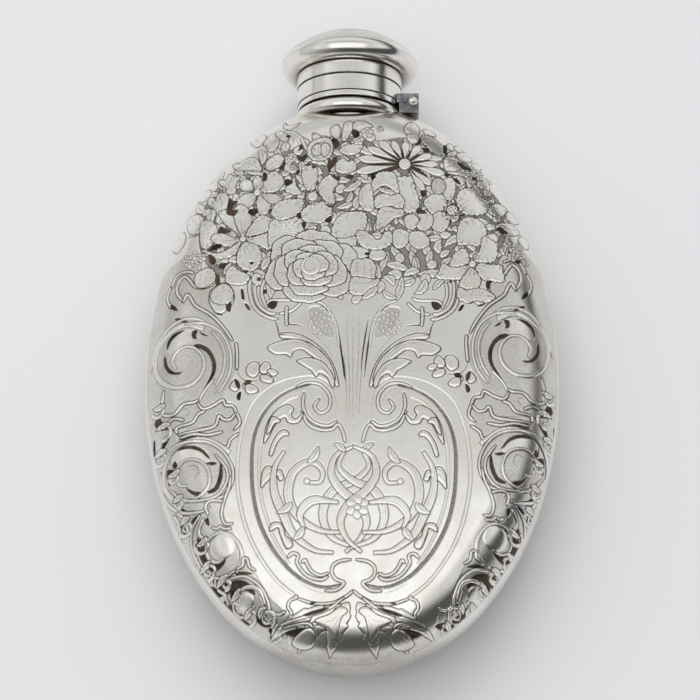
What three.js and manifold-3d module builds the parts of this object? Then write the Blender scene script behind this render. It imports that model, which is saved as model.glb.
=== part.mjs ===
// Oval sterling hip flask with a hinged, quarter-turn cap.
//
// Millimetres. The flask lies on its back: +Z is its front, +Y runs from the base to the cap,
// and the hinge is on the +X side. The origin is under the middle of the whole length, on the
// plane that the flask lies on.

import * as THREE from 'three';
import Module from 'manifold-3d';
import { mergeVertices } from 'three/addons/utils/BufferGeometryUtils.js';

const wasm = await Module();
wasm.setup();

// Driving dimensions. Heights along the flask are measured from the middle of its oval body.
const BODY_HALF_WIDTH = 45.5;
const BODY_HALF_LENGTH = 65.6;
const HALF_THICKNESS = 15.3;
const EDGE_RADIUS = 13;
const WALL = 0.8;
const BACK_PANEL = 0.45;             // share of the back, from its middle out, that is truly flat
const FRONT_PANEL = 0;

const NECK_X = -0.8;                 // the neck was soldered on slightly off centre
const SHELL_HOLE_RADIUS = 10.7;
const COLLAR = {
  bottom: 55, footTop: 57.8, waistBottom: 59.6, top: 61.2,
  foot: 12.3, waist: 11.6, waistFlare: 0.15, bore: 8.6, tube: 10.4,
};
const BEAD = { bottom: 61.25, top: 64.35, radius: 12.2, bore: 8.6 };
const SPOUT = { bottom: 58.5, top: 70.4, bore: 7.5, radius: 8.3, rimRadius: 9.3, rimBottom: 69 };
const RIM_GAP_HALF_ANGLE = 25 * Math.PI / 180;

const BAND = { bottom: 64.45, top: 65.85, radius: 11.6, bore: 11.2 };
const RING = { bottom: 65.9, top: 69.65, radius: 11.7, bore: 10.95, seat: 67.2, seatRadius: 11.2 };
const SKIRT = { bottom: 69.75, top: 73.1, radius: 11.75, bore: 11 };
const FLANGE = { widest: 75.7, radius: HALF_THICKNESS, roll: 2.6, wall: 0.7, bore: 11, dish: 0.1 };
const CAP_TOP = 82.3;
const SLEEVE = { bottom: 66.4, top: 73.7, radius: 10.7, bore: 10.2, lipTop: 66.9, lipRadius: 11.05 };
const LUG = { bottom: 67.4, top: 68.8, inner: 8.5, outer: 9.95, halfWidth: 1.6 };
const CORK = { bottom: 70.5, top: 71.95, radius: 9.7 };
const PLATE = { bottom: 72, top: 72.6, radius: 10.1 };
const RIVET = { shank: 0.75, hole: 0.9, headRadius: 2, headTip: 1.4, headDepth: 0.55, tailRadius: 1.6 };

const HINGE = {
  x: 13.3, y: 65.2,                  // the pin, measured from the middle of the body
  halfWidth: 5.2,                    // along the pin
  left: 8.6, right: 14.6,
  bottom: 62.8, top: 67.4,
  knuckle: 1.3, knuckleClearance: 0.15,
  middleHalfWidth: 1.7, slotHalfWidth: 1.85,
  slotReach: 2.2, slotDepth: 1.6,    // inwards and downwards from the pin
  strapReach: 0.3, strapRise: 0.4,   // how far the middle knuckle's strap runs into the arched leaf
  pin: 0.5, pinEnd: 0.3, hole: 0.56, ball: 1.05, ballStandsOut: 0.75,
};
const FIT_GAP = 0.05;                // between soldered neighbours
const MOVING_GAP = 0.1;

const AROUND_BODY = 60;
const AROUND_NECK = 36;
const AROUND_PIN = 12;
const EDGE_STEPS = 5;
const CROWN_STEPS = 2;
const ROLL_STEPS = 4;
const DOME_STEPS = 5;

const MIDDLE = HALF_THICKNESS;       // height of the seam and of the neck's axis
const SHIFT = (CAP_TOP - BODY_HALF_LENGTH) / 2;

const SILVER = { color: 0xd8d4cb, roughness: 0.22, metalness: 1 };
const GILT = { color: 0xd9b56a, roughness: 0.2, metalness: 1 };
const CORK_FINISH = { color: 0xb98a5a, roughness: 0.9, metalness: 0 };

// ---------------------------------------------------------------- closed surfaces

function cleaned(geometry) {
  const bare = geometry.clone();
  bare.deleteAttribute('normal');
  bare.deleteAttribute('uv');
  const merged = mergeVertices(bare, 1e-4);
  const index = merged.index.array;
  const kept = [];
  for (let i = 0; i < index.length; i += 3) {
    const [a, b, c] = [index[i], index[i + 1], index[i + 2]];
    if (a !== b && b !== c && c !== a) kept.push(a, b, c);
  }
  merged.setIndex(kept);
  return facingOut(merged);
}

function facingOut(geometry) {
  const index = Array.from(geometry.index.array);
  const corner = [new THREE.Vector3(), new THREE.Vector3(), new THREE.Vector3()];
  let volume = 0;
  for (let i = 0; i < index.length; i += 3) {
    corner.forEach((point, k) => point.fromBufferAttribute(geometry.attributes.position, index[i + k]));
    volume += corner[0].dot(corner[1].clone().cross(corner[2])) / 6;
  }
  if (volume < 0) {
    for (let i = 0; i < index.length; i += 3) {
      [index[i], index[i + 1]] = [index[i + 1], index[i]];
    }
    geometry.setIndex(index);
  }
  return geometry;
}

// One closed skin from a first point, through rings of equally many points, to a last point.
function skinThrough(first, rings, last) {
  const around = rings[0].length;
  const positions = [first, ...rings.flat(), last].flat();
  const end = positions.length / 3 - 1;
  const index = [];
  for (let i = 0; i < around; i += 1) {
    const next = (i + 1) % around;
    index.push(0, 1 + i, 1 + next);
    for (let row = 0; row < rings.length - 1; row += 1) {
      const here = 1 + row * around;
      const beyond = here + around;
      index.push(here + i, beyond + i, beyond + next);
      index.push(here + i, beyond + next, here + next);
    }
    const lastRing = 1 + (rings.length - 1) * around;
    index.push(lastRing + i, end, lastRing + next);
  }
  const geometry = new THREE.BufferGeometry();
  geometry.setAttribute('position', new THREE.Float32BufferAttribute(positions, 3));
  geometry.setIndex(index);
  return facingOut(geometry);
}

function toManifold(geometry) {
  const clean = cleaned(geometry);
  return new wasm.Manifold(new wasm.Mesh({
    numProp: 3,
    vertProperties: Float32Array.from(clean.attributes.position.array),
    triVerts: Uint32Array.from(clean.index.array),
  }));
}

function toGeometry(manifold) {
  const mesh = manifold.getMesh();
  const geometry = new THREE.BufferGeometry();
  geometry.setAttribute('position', new THREE.BufferAttribute(mesh.vertProperties, 3));
  geometry.setIndex(new THREE.BufferAttribute(mesh.triVerts, 1));
  return geometry;
}

function cut(geometry, ...tools) {
  return toGeometry(tools.reduce((left, tool) => left.subtract(toManifold(tool)), toManifold(geometry)));
}

function join(...geometries) {
  return toGeometry(geometries.map(toManifold).reduce((whole, piece) => whole.add(piece)));
}

// A turned piece about the neck's axis. Its profile is a list of [radius, height] corners.
function turned(profile, closes = true) {
  const points = profile.map(([radius, height]) => new THREE.Vector2(radius, height));
  if (closes) points.push(points[0].clone());
  return cleaned(new THREE.LatheGeometry(points, AROUND_NECK)).translate(NECK_X, 0, MIDDLE);
}

function neckCylinder(radius, bottom, top) {
  return turned([[0, bottom], [radius, bottom], [radius, top], [0, top]], false);
}

function arc(centreRadius, centreHeight, radius, from, to, steps) {
  return Array.from({ length: steps + 1 }, (_, i) => {
    const angle = from + (to - from) * i / steps;
    return [centreRadius + radius * Math.cos(angle), centreHeight + radius * Math.sin(angle)];
  });
}

function outline(...corners) {
  return new THREE.Shape(corners.map(([x, y]) => new THREE.Vector2(x, y)));
}

// A plate whose outline is drawn from the front, centred on the seam plane.
function plate(shape, halfWidth) {
  const depth = 2 * halfWidth;
  const options = { depth, bevelEnabled: false, curveSegments: AROUND_PIN };
  const geometry = new THREE.ExtrudeGeometry(shape, options);
  return geometry.translate(0, 0, MIDDLE - halfWidth);
}

function block(left, right, bottom, top, halfWidth) {
  const geometry = new THREE.BoxGeometry(right - left, top - bottom, 2 * halfWidth);
  return geometry.translate((left + right) / 2, (bottom + top) / 2, MIDDLE);
}

function rod(radius, halfWidth, x = HINGE.x, y = HINGE.y) {
  const shape = new THREE.Shape();
  shape.absarc(x, y, radius, 0, 2 * Math.PI, false);
  return plate(shape, halfWidth);
}

// ---------------------------------------------------------------- oval body

// Rings of one half of the body, from the seam to the middle of its face. side is +1 for the
// front and -1 for the back. inset moves the whole surface inwards, or outwards if negative.
function faceRings(side, inset, panel) {
  const edge = EDGE_RADIUS - inset;
  const height = HALF_THICKNESS - inset;
  const rings = Array.from({ length: EDGE_STEPS + CROWN_STEPS + 1 }, () => []);
  for (let i = 0; i < AROUND_BODY; i += 1) {
    const angle = 2 * Math.PI * i / AROUND_BODY;
    const normal = new THREE.Vector2(BODY_HALF_LENGTH * Math.cos(angle), BODY_HALF_WIDTH * Math.sin(angle));
    normal.normalize();
    const spine = new THREE.Vector2(BODY_HALF_WIDTH * Math.cos(angle), BODY_HALF_LENGTH * Math.sin(angle));
    spine.addScaledVector(normal, -EDGE_RADIUS);

    // The rounded edge turns until it meets the crown at the crown's own slope.
    let slope = 0;
    let joint = spine;
    for (let pass = 0; pass < 6; pass += 1) {
      joint = spine.clone().addScaledVector(normal, edge * Math.sin(slope));
      const rise = height - edge * Math.cos(slope);
      slope = Math.atan(2 * rise / (joint.length() * (1 - panel)));
    }
    for (let k = 0; k <= EDGE_STEPS; k += 1) {
      const turn = (Math.PI / 2 - slope) * k / EDGE_STEPS;
      const place = spine.clone().addScaledVector(normal, edge * Math.cos(turn));
      rings[k].push([place.x, place.y, MIDDLE + side * edge * Math.sin(turn)]);
    }
    const rise = height - edge * Math.cos(slope);
    for (let k = 1; k <= CROWN_STEPS; k += 1) {
      const out = 1 - k / (CROWN_STEPS + (panel > 0 ? 0 : 1));
      const share = panel + (1 - panel) * out;
      const crown = height - rise * out * out;
      rings[EDGE_STEPS + k].push([joint.x * share, joint.y * share, MIDDLE + side * crown]);
    }
  }
  return rings;
}

function faceMiddle(side, inset) {
  return [0, 0, MIDDLE + side * (HALF_THICKNESS - inset)];
}

function halfShell(side, panel) {
  const outside = faceRings(side, 0, panel).reverse();
  const inside = faceRings(side, WALL, panel);
  const skin = skinThrough(faceMiddle(side, 0), [...outside, ...inside], faceMiddle(side, WALL));
  return cut(skin, neckCylinder(SHELL_HOLE_RADIUS, BODY_HALF_LENGTH / 2, CAP_TOP));
}

// The whole oval as one block, a little larger than the shells, for shaping what sits on it.
function bodyBlock() {
  const back = faceRings(-1, -FIT_GAP, BACK_PANEL).reverse();
  const front = faceRings(1, -FIT_GAP, FRONT_PANEL).slice(1);
  return skinThrough(faceMiddle(-1, -FIT_GAP), [...back, ...front], faceMiddle(1, -FIT_GAP));
}

// ---------------------------------------------------------------- neck and pouring spout

// The body block with the mouth that the neck's collar is let into.
function shoulder() {
  return cut(bodyBlock(), neckCylinder(COLLAR.tube, 0, CAP_TOP));
}

// A moulding saddled on the shoulder, on a short tube let into the body's mouth.
function neckCollar() {
  const { bottom, footTop, waistBottom, top, foot, waist, waistFlare, bore } = COLLAR;
  const profile = [
    [bore, bottom], [foot, bottom], [foot, footTop],
    [waist + waistFlare, waistBottom], [waist, top], [bore, top],
  ];
  return cut(turned(profile), shoulder());
}

function neckBead() {
  const { bottom, top, radius, bore } = BEAD;
  const half = (top - bottom) / 2;
  const round = arc(radius - half, bottom + half, half, -Math.PI / 2, Math.PI / 2, 6);
  return cut(turned([[bore, bottom], ...round, [bore, top]]), shoulder());
}

// The rim stands out over the spout and is broken by two gaps, which let the cap's lugs past.
function spout() {
  const { bottom, top, bore, radius, rimRadius, rimBottom } = SPOUT;
  const tube = turned([
    [bore, bottom], [radius, bottom], [radius, rimBottom],
    [rimRadius, rimBottom], [rimRadius, top], [bore, top],
  ]);
  const reach = 2 * rimRadius;
  const across = reach * Math.sin(RIM_GAP_HALF_ANGLE);
  const out = reach * Math.cos(RIM_GAP_HALF_ANGLE);
  const wedge = outline([0, 0], [across, out], [-across, out]);
  const depth = 2 * (top - rimBottom);
  const gaps = [1, -1].map((side) => {
    const opening = new THREE.ExtrudeGeometry(wedge, { depth, bevelEnabled: false });
    opening.translate(0, 0, -depth / 2).rotateX(side * Math.PI / 2);
    opening.translate(NECK_X, (rimBottom + top) / 2, MIDDLE);
    return cut(opening, neckCylinder(radius, bottom, CAP_TOP));
  });
  return cut(tube, ...gaps);
}

// ---------------------------------------------------------------- hinge

// Fixed leaf: a plate soldered to the shoulder and the bead, ending in two knuckles.
function lowerLeaf() {
  const { x, y, left, right, bottom, halfWidth, knuckle, slotHalfWidth, slotReach, slotDepth } = HINGE;
  const leaf = plate(outline([left, bottom], [right, bottom], [right, y], [left, y - FIT_GAP]), halfWidth);
  return cut(
    join(leaf, rod(knuckle, halfWidth)),
    block(x - slotReach, right + knuckle, y - slotDepth, y + slotReach, slotHalfWidth),
    rod(HINGE.hole, 2 * halfWidth),
    bodyBlock(),
    neckCylinder(BEAD.radius + FIT_GAP, 0, CAP_TOP),
  );
}

// Moving leaf: soldered to the hinged ring, arched over the fixed knuckles, with its own
// knuckle between them.
function upperLeaf() {
  const { x, y, left, right, top, halfWidth, knuckle, knuckleClearance, middleHalfWidth } = HINGE;
  const seam = y + MOVING_GAP;
  const over = knuckle + knuckleClearance;
  const arched = cut(
    block(left, right, seam, top, halfWidth),
    rod(over, 2 * halfWidth),
    block(x, right + over, seam - over, y + over, 2 * halfWidth),
  );
  const strap = block(x - over - HINGE.strapReach, x, seam, y + over + HINGE.strapRise, middleHalfWidth);
  return cut(
    join(arched, strap, rod(knuckle, middleHalfWidth)),
    rod(HINGE.hole, 2 * halfWidth),
    neckCylinder(RING.radius + FIT_GAP, 0, CAP_TOP),
  );
}

// A ball that ends the pin in front (side +1) or behind (side -1), flat where it meets the leaves.
function pinBall(side) {
  const { x, y, halfWidth, ball, ballStandsOut } = HINGE;
  const centre = MIDDLE + side * (halfWidth + ballStandsOut * ball);
  const sphere = new THREE.SphereGeometry(ball, 12, 8).translate(x, y, centre);
  const reach = 2 * ball;
  return cut(sphere, block(x - reach, x + reach, y - reach, y + reach, halfWidth + FIT_GAP));
}

function hingePin() {
  return join(rod(HINGE.pin, HINGE.halfWidth + HINGE.pinEnd), pinBall(1));
}

function hingePinRearBead() {
  return cut(pinBall(-1), rod(HINGE.pin + FIT_GAP, HINGE.halfWidth + HINGE.pinEnd + FIT_GAP));
}

// ---------------------------------------------------------------- hinged ring and cap

function plainRing({ bottom, top, radius, bore }) {
  return turned([[bore, bottom], [radius, bottom], [radius, top], [bore, top]]);
}

function lidRing() {
  const { bottom, seat, top, radius, bore, seatRadius } = RING;
  return turned([
    [seatRadius, bottom], [radius, bottom], [radius, top], [bore, top], [bore, seat], [seatRadius, seat],
  ]);
}

// The dome meets the rolled rim where both have the same slope.
function domeProfile(inset, sill) {
  const { widest, radius, roll } = FLANGE;
  const rollCentre = radius - roll;
  const topHeight = CAP_TOP - inset;
  let slope = 0.5;
  for (let pass = 0; pass < 20; pass += 1) {
    const run = rollCentre + (roll - inset) * Math.sin(slope);
    const rise = topHeight - widest - (roll - inset) * Math.cos(slope);
    slope = 2 * Math.atan(rise / run);
  }
  const domeRadius = (rollCentre + (roll - inset) * Math.sin(slope)) / Math.sin(slope);
  return [
    [radius - inset, sill],
    ...arc(rollCentre, widest, roll - inset, 0.05, Math.PI / 2 - slope, ROLL_STEPS),
    ...arc(0, topHeight - domeRadius, domeRadius, Math.PI / 2 - slope, Math.PI / 2, DOME_STEPS).slice(1, -1),
    [0, topHeight],
  ];
}

function capDome() {
  const sill = FLANGE.widest + FIT_GAP;
  const profile = [...domeProfile(0, sill), ...domeProfile(FLANGE.wall, sill).reverse()];
  return turned(profile);
}

function capUnderside() {
  const { widest, radius, roll, wall, bore, dish } = FLANGE;
  const rollCentre = radius - roll;
  const floor = widest - roll + dish;
  const under = arc(rollCentre, widest, roll, -Math.PI / 2, 0, ROLL_STEPS + 1);
  const inner = arc(rollCentre, widest, roll - wall, 0, -Math.PI / 2, ROLL_STEPS);
  return turned([[bore, floor], ...under, ...inner, [bore, floor + wall]]);
}

function capSleeve() {
  const { bottom, lipTop, top, radius, bore, lipRadius } = SLEEVE;
  return turned([
    [bore, bottom], [lipRadius, bottom], [lipRadius, lipTop], [radius, lipTop], [radius, top], [bore, top],
  ]);
}

function bayonetLug(side) {
  const { bottom, top, inner, outer, halfWidth } = LUG;
  const block = new THREE.BoxGeometry(2 * halfWidth, top - bottom, outer - inner);
  return block.translate(NECK_X, (bottom + top) / 2, MIDDLE + side * (inner + outer) / 2);
}

function drilledDisc({ bottom, top, radius }) {
  return plainRing({ bottom, top, radius, bore: RIVET.hole });
}

function sealRivet() {
  const { shank, headRadius, headTip, headDepth, tailRadius } = RIVET;
  const headTop = CORK.bottom - FIT_GAP;
  const tailBottom = PLATE.top + FIT_GAP;
  return turned([
    [0, headTop - headDepth], [headTip, headTop - headDepth], [headRadius, headTop - headDepth / 2],
    [headRadius, headTop], [shank, headTop], [shank, tailBottom], [tailRadius, tailBottom],
    [tailRadius, tailBottom + headDepth], [0, tailBottom + headDepth],
  ], false);
}

// ---------------------------------------------------------------- assembly

function piece(name, geometry, finish) {
  const mesh = new THREE.Mesh(cleaned(geometry), new THREE.MeshStandardMaterial(finish));
  mesh.name = name;
  return mesh;
}

const flask = new THREE.Group();
flask.add(
  piece('front_shell', halfShell(1, FRONT_PANEL), SILVER),
  piece('back_shell', halfShell(-1, BACK_PANEL), SILVER),
  piece('neck_collar', neckCollar(), SILVER),
  piece('neck_bead', neckBead(), SILVER),
  piece('spout', spout(), GILT),
  piece('hinge_lower_leaf', lowerLeaf(), SILVER),
  piece('hinge_pin', hingePin(), SILVER),
  piece('hinge_pin_rear_bead', hingePinRearBead(), SILVER),
);

const lid = new THREE.Group();
lid.add(
  piece('lid_band', plainRing(BAND), SILVER),
  piece('lid_ring', lidRing(), SILVER),
  piece('hinge_upper_leaf', upperLeaf(), SILVER),
);

const cap = new THREE.Group();
cap.add(
  piece('cap_dome', capDome(), SILVER),
  piece('cap_underside', capUnderside(), SILVER),
  piece('cap_skirt', plainRing(SKIRT), SILVER),
  piece('cap_sleeve', capSleeve(), GILT),
  piece('bayonet_lug_front', bayonetLug(1), GILT),
  piece('bayonet_lug_back', bayonetLug(-1), GILT),
  piece('cork_disc', drilledDisc(CORK), CORK_FINISH),
  piece('seal_plate', drilledDisc(PLATE), GILT),
  piece('seal_rivet', sealRivet(), GILT),
);

const group = new THREE.Group();
group.add(flask, lid, cap);
group.position.y = -SHIFT;

export default group;
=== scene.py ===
"""Looks of an oval sterling hip flask: etched flowers and scrollwork, a hinged neck ring and a domed cap.

Shapes are worked out in millimetres in the CAD frame (+Y towards the cap, +Z the front, +X the hinge
side) and scaled to metres when a mesh is made. Places come from the boxes of the CAD nodes.
"""
import math

import bpy
import numpy as np
from mathutils import Matrix, Vector


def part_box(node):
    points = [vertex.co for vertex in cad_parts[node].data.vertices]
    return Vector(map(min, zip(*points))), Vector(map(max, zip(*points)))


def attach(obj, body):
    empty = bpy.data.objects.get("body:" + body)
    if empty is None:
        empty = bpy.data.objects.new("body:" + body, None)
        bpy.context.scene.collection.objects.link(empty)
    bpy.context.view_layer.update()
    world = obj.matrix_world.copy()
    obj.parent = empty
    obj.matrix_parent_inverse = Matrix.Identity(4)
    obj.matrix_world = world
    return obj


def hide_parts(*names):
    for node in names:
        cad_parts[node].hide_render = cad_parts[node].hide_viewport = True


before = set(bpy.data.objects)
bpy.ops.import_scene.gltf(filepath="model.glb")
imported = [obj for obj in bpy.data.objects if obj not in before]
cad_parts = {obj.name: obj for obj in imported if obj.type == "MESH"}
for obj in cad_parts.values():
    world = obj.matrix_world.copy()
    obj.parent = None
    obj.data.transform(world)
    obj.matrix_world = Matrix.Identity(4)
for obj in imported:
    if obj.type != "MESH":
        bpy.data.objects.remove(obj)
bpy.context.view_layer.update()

MM = 0.001


class Span:
    """Box of a CAD node in millimetres."""

    def __init__(self, node):
        low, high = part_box(node)
        self.low = np.array(low) / MM
        self.high = np.array(high) / MM
        self.bottom, self.top = self.low[1], self.high[1]
        self.radius = (self.high[0] - self.low[0]) / 2


SHELL = {"front": Span("front_shell"), "back": Span("back_shell")}
HALF_WIDTH = SHELL["front"].radius
HALF_LENGTH = 65.6
MIDDLE = SHELL["back"].high[2]                     # height of the seam and of the neck's axis
HALF_THICKNESS = SHELL["front"].high[2] - MIDDLE
CENTRE_Y = SHELL["front"].bottom + HALF_LENGTH     # middle of the oval in the CAD frame
EDGE = 13.0                                        # radius of the rounded edge
WALL = 0.8                                         # thickness of the body's sheet
BACK_PANEL = 0.45                                  # share of the back that is flat
NECK_HOLE = 10.6                                   # radius of the mouth cut in the body
BEAD, COLLAR = Span("neck_bead"), Span("neck_collar")
BAND, RING, SKIRT = Span("lid_band"), Span("lid_ring"), Span("cap_skirt")
DOME, UNDERSIDE, SLEEVE = Span("cap_dome"), Span("cap_underside"), Span("cap_sleeve")
CORK, PLATE, RIVET = Span("cork_disc"), Span("seal_plate"), Span("seal_rivet")
NECK_X = (BEAD.low[0] + BEAD.high[0]) / 2
NECK_BORE = BEAD.radius - 3.6                      # bore of the collar and the bead
RING_BORE, LIP_BORE = 10.95, 11.2                  # the ring's bore, and the wider one at its foot
LIP_HEIGHT = 1.3
SKIRT_BORE = 11.0
ROLL = 2.6                                         # radius of the cap's rolled rim
ROLL_CENTRE = DOME.radius - ROLL
WIDEST = DOME.bottom - 0.05                        # height at which the cap is widest
CAP_WALL = 0.7
CROWN_RISE = 1.2                                   # the CAD dome is this much too low for the picture

FINE = 0.175                # spacing of the ornamented front's points
BACK_FINE = 0.3
INNER_SPACING = 1.6

# ---------------------------------------------------------------- meshes


def new_object(name, points, faces, material, body, nodes, attributes=(), sharp=math.radians(40)):
    """A mesh from points in millimetres and lists of faces, riding on a body in place of CAD nodes."""
    mesh = bpy.data.meshes.new(name)
    points = np.asarray(points, np.float32) * MM
    mesh.vertices.add(len(points))
    mesh.vertices.foreach_set("co", points.ravel())
    counts = np.concatenate([np.full(len(f), f.shape[1]) for f in faces])
    corners = np.concatenate([f.ravel() for f in faces]).astype(np.int32)
    mesh.loops.add(len(corners))
    mesh.loops.foreach_set("vertex_index", corners)
    mesh.polygons.add(len(counts))
    starts = np.concatenate([[0], np.cumsum(counts)[:-1]]).astype(np.int32)
    mesh.polygons.foreach_set("loop_start", starts)
    mesh.polygons.foreach_set("use_smooth", np.ones(len(counts), bool))
    mesh.update(calc_edges=True)
    for key, values in dict(attributes).items():
        attribute = mesh.attributes.new(key, "FLOAT", "POINT")
        attribute.data.foreach_set("value", np.asarray(values, np.float32))
    if sharp is not None:
        mesh.set_sharp_from_angle(angle=sharp)
    mesh.materials.append(material)
    made = bpy.data.objects.new(name, mesh)
    bpy.context.scene.collection.objects.link(made)
    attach(made, body)
    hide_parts(*nodes)
    return made


# ---------------------------------------------------------------- oval body


def outline_at(turn):
    """Points on the oval seam line and their outward normals, at curve parameters turn."""
    x, y = HALF_WIDTH * np.cos(turn), HALF_LENGTH * np.sin(turn)
    nx, ny = HALF_LENGTH * np.cos(turn), HALF_WIDTH * np.sin(turn)
    size = np.hypot(nx, ny)
    return np.stack([x, y], -1), np.stack([nx / size, ny / size], -1)


def crown_joint(turn, edge, height, panel):
    """Where the rounded edge meets the crown with equal slope: plan place, slope and rise of the crown."""
    on_outline, normal = outline_at(turn)
    spine = on_outline - EDGE * normal
    slope = np.zeros(len(turn))
    for _ in range(8):
        joint = spine + normal * (edge * np.sin(slope))[:, None]
        rise = height - edge * np.cos(slope)
        slope = np.arctan(2 * rise / (np.hypot(*joint.T) * (1 - panel)))
    return spine, normal, joint, slope, rise


def ring_places(turn, step, steps, side, inset, panel):
    """One ring of a face: 0 is the seam, `steps` the crown's rim, and above that towards the middle."""
    edge, height = EDGE - inset, HALF_THICKNESS - inset
    spine, normal, joint, slope, rise = crown_joint(turn, edge, height, panel)
    if step <= steps:
        angle = (math.pi / 2 - slope) * step / steps
        plan = spine + normal * (edge * np.cos(angle))[:, None]
        z = edge * np.sin(angle)
        out = np.cos(angle)[:, None] * normal
        up = np.sin(angle)
        flat = spine + normal * (EDGE * (math.pi / 2 - angle))[:, None]
    else:
        share = steps + 1 - step       # 1 at the rim down to 0 in the middle
        plan = joint * share
        beyond = max(share - panel, 0) / (1 - panel)
        z = height - rise * beyond**2
        tilt = np.arctan(np.tan(slope) * beyond)
        out = np.sin(tilt)[:, None] * normal
        up = np.cos(tilt)
        flat = plan
    places = np.column_stack([plan, side * z])
    normals = np.column_stack([out, side * up])
    return places, normals, flat


def equal_parts(step, steps, side, inset, panel, spacing):
    """Curve parameters that cut one ring into equal parts about `spacing` long."""
    turn = np.linspace(0, 2 * math.pi, 1441)
    places, _, _ = ring_places(turn, step, steps, side, inset, panel)
    run = np.concatenate([[0], np.cumsum(np.linalg.norm(np.diff(places, axis=0), axis=1))])
    count = max(6, round(run[-1] / spacing))
    return np.interp(np.arange(count) * run[-1] / count, run, turn)


def zip_rings(first_a, count_a, first_b, count_b):
    """Triangles between two rings of unequal numbers of equally spaced points."""
    a, b = np.arange(count_a), np.arange(count_b)
    b_seen = np.ceil((a + 0.5) / count_a * count_b - 0.5).astype(int)
    a_seen = np.floor((b + 0.5) / count_b * count_a - 0.5).astype(int) + 1
    from_a = np.column_stack([
        first_a + a, first_a + (a + 1) % count_a, first_b + b_seen % count_b])
    from_b = np.column_stack([
        first_b + (b + 1) % count_b, first_b + b, first_a + a_seen % count_a])
    return np.concatenate([from_a, from_b])


def face_skin(side, inset, panel, spacing):
    """One half of the body from the seam to the middle: points, normals, unrolled places, triangles."""
    steps = round(EDGE * math.pi / 2 / spacing)
    across = round(HALF_LENGTH / spacing)
    stations = [float(k) for k in range(steps + 1)]
    stations += [steps + k / across for k in range(1, across)]
    rings, faces, start = [], [], 0
    for station in stations:
        turn = equal_parts(station, steps, side, inset, panel, spacing)
        rings.append(ring_places(turn, station, steps, side, inset, panel))
        count = len(turn)
        if start:
            faces.append(zip_rings(start - last, last, start, count))
        start, last = start + count, count
    middle = np.array([[0.0, 0.0, side * (HALF_THICKNESS - inset)]])
    rings.append((middle, np.array([[0.0, 0.0, float(side)]]), np.zeros((1, 2))))
    ring = start - last + np.arange(last)
    faces.append(np.column_stack([ring, np.roll(ring, -1), np.full(last, start)]))
    points, normals, flat = (np.concatenate([r[i] for r in rings]) for i in range(3))
    triangles = np.concatenate(faces)
    return points, normals, flat, triangles if side > 0 else triangles[:, ::-1]


def body_half(name, side, panel, spacing, material, nodes):
    """A closed shell half: ornamented outside, a lip at the seam, and a plain inside."""
    points, normals, flat, triangles = face_skin(side, 0, panel, spacing)
    # the oxide from ornament() also holds painted shade on the rim at the foot
    height, oxide = ornament(flat, side)
    outer = points + normals * height[:, None]
    inner_points, _, _, inner_triangles = face_skin(side, WALL, panel, INNER_SPACING)
    outer_rim = np.count_nonzero(np.abs(points[:, 2]) < 1e-9)
    inner_rim = np.count_nonzero(np.abs(inner_points[:, 2]) < 1e-9)
    lip = zip_rings(0, outer_rim, len(outer), inner_rim)
    everything = np.concatenate([
        triangles,
        inner_triangles[:, ::-1] + len(outer),
        lip[:, ::-1] if side > 0 else lip,
    ])
    places = np.concatenate([outer, inner_points])
    centres = places[everything].mean(1)
    in_mouth = np.hypot(centres[:, 0] - NECK_X, centres[:, 2]) < NECK_HOLE
    everything = everything[~(in_mouth & (centres[:, 1] > HALF_LENGTH / 2))]
    places += (0, CENTRE_Y, MIDDLE)
    oxide = np.concatenate([oxide, np.full(len(inner_points), 0.3)])
    return new_object(name, places, [everything], material, "flask", nodes,
                      {"oxide": oxide}, sharp=None)


# ---------------------------------------------------------------- turned pieces


FILLET_STEPS = 4
ON_AXIS = 0.004                                    # an open profile ends this close to the axis


def rounded(corners):
    """A profile from corners [radius, height, fillet]; each corner is rounded by its fillet."""
    corners = [np.array(c + [0] * (3 - len(c)), float) for c in corners]
    profile = []
    for i, corner in enumerate(corners):
        here, fillet = corner[:2], corner[2]
        if not fillet:
            profile.append(here)
            continue
        before = corners[i - 1][:2] - here
        after = corners[(i + 1) % len(corners)][:2] - here
        start = here + before / np.linalg.norm(before) * fillet
        end = here + after / np.linalg.norm(after) * fillet
        for k in range(FILLET_STEPS + 1):
            t = k / FILLET_STEPS
            profile.append((1 - t)**2 * start + 2 * t * (1 - t) * here + t**2 * end)
    return np.array(profile)


def arc(centre_radius, centre_height, radius, start, end, steps):
    """Points [radius, height] of a profile along an arc, angles in radians."""
    angles = np.linspace(start, end, steps + 1)
    return np.column_stack([
        centre_radius + radius * np.cos(angles), centre_height + radius * np.sin(angles)])


def turned(profile, around, closed):
    """Revolves a profile of [radius, height] about the neck's axis. Open profiles end on the axis."""
    if not closed:
        profile = profile.copy()
        profile[[0, -1], 0] = ON_AXIS
    angle = np.arange(around) * 2 * math.pi / around
    radius, height = profile[:, 0][:, None], profile[:, 1][:, None]
    points = np.stack([
        NECK_X + radius * np.sin(angle),
        height + 0 * angle,
        MIDDLE + radius * np.cos(angle),
    ], -1)
    rows, columns = len(profile), np.arange(around)
    beyond = (columns + 1) % around
    faces = []
    for row in range(rows if closed else rows - 1):
        here, after = row * around, (row + 1) % rows * around
        faces.append(np.column_stack([
            here + columns, here + beyond, after + beyond, after + columns]))
    quads = np.concatenate(faces)
    doubled_area = np.sum(
        profile[:, 0] * np.roll(profile[:, 1], -1) - np.roll(profile[:, 0], -1) * profile[:, 1])
    if doubled_area < 0:
        quads = quads[:, ::-1]
    points = points.reshape(-1, 3)
    if closed:
        return points, [quads]
    first = np.arange(around)[None, :]
    last = (rows - 1) * around + np.arange(around)[None, :]
    caps = [first[:, ::-1], last] if doubled_area >= 0 else [first, last[:, ::-1]]
    return points, [quads, *caps]


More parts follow.
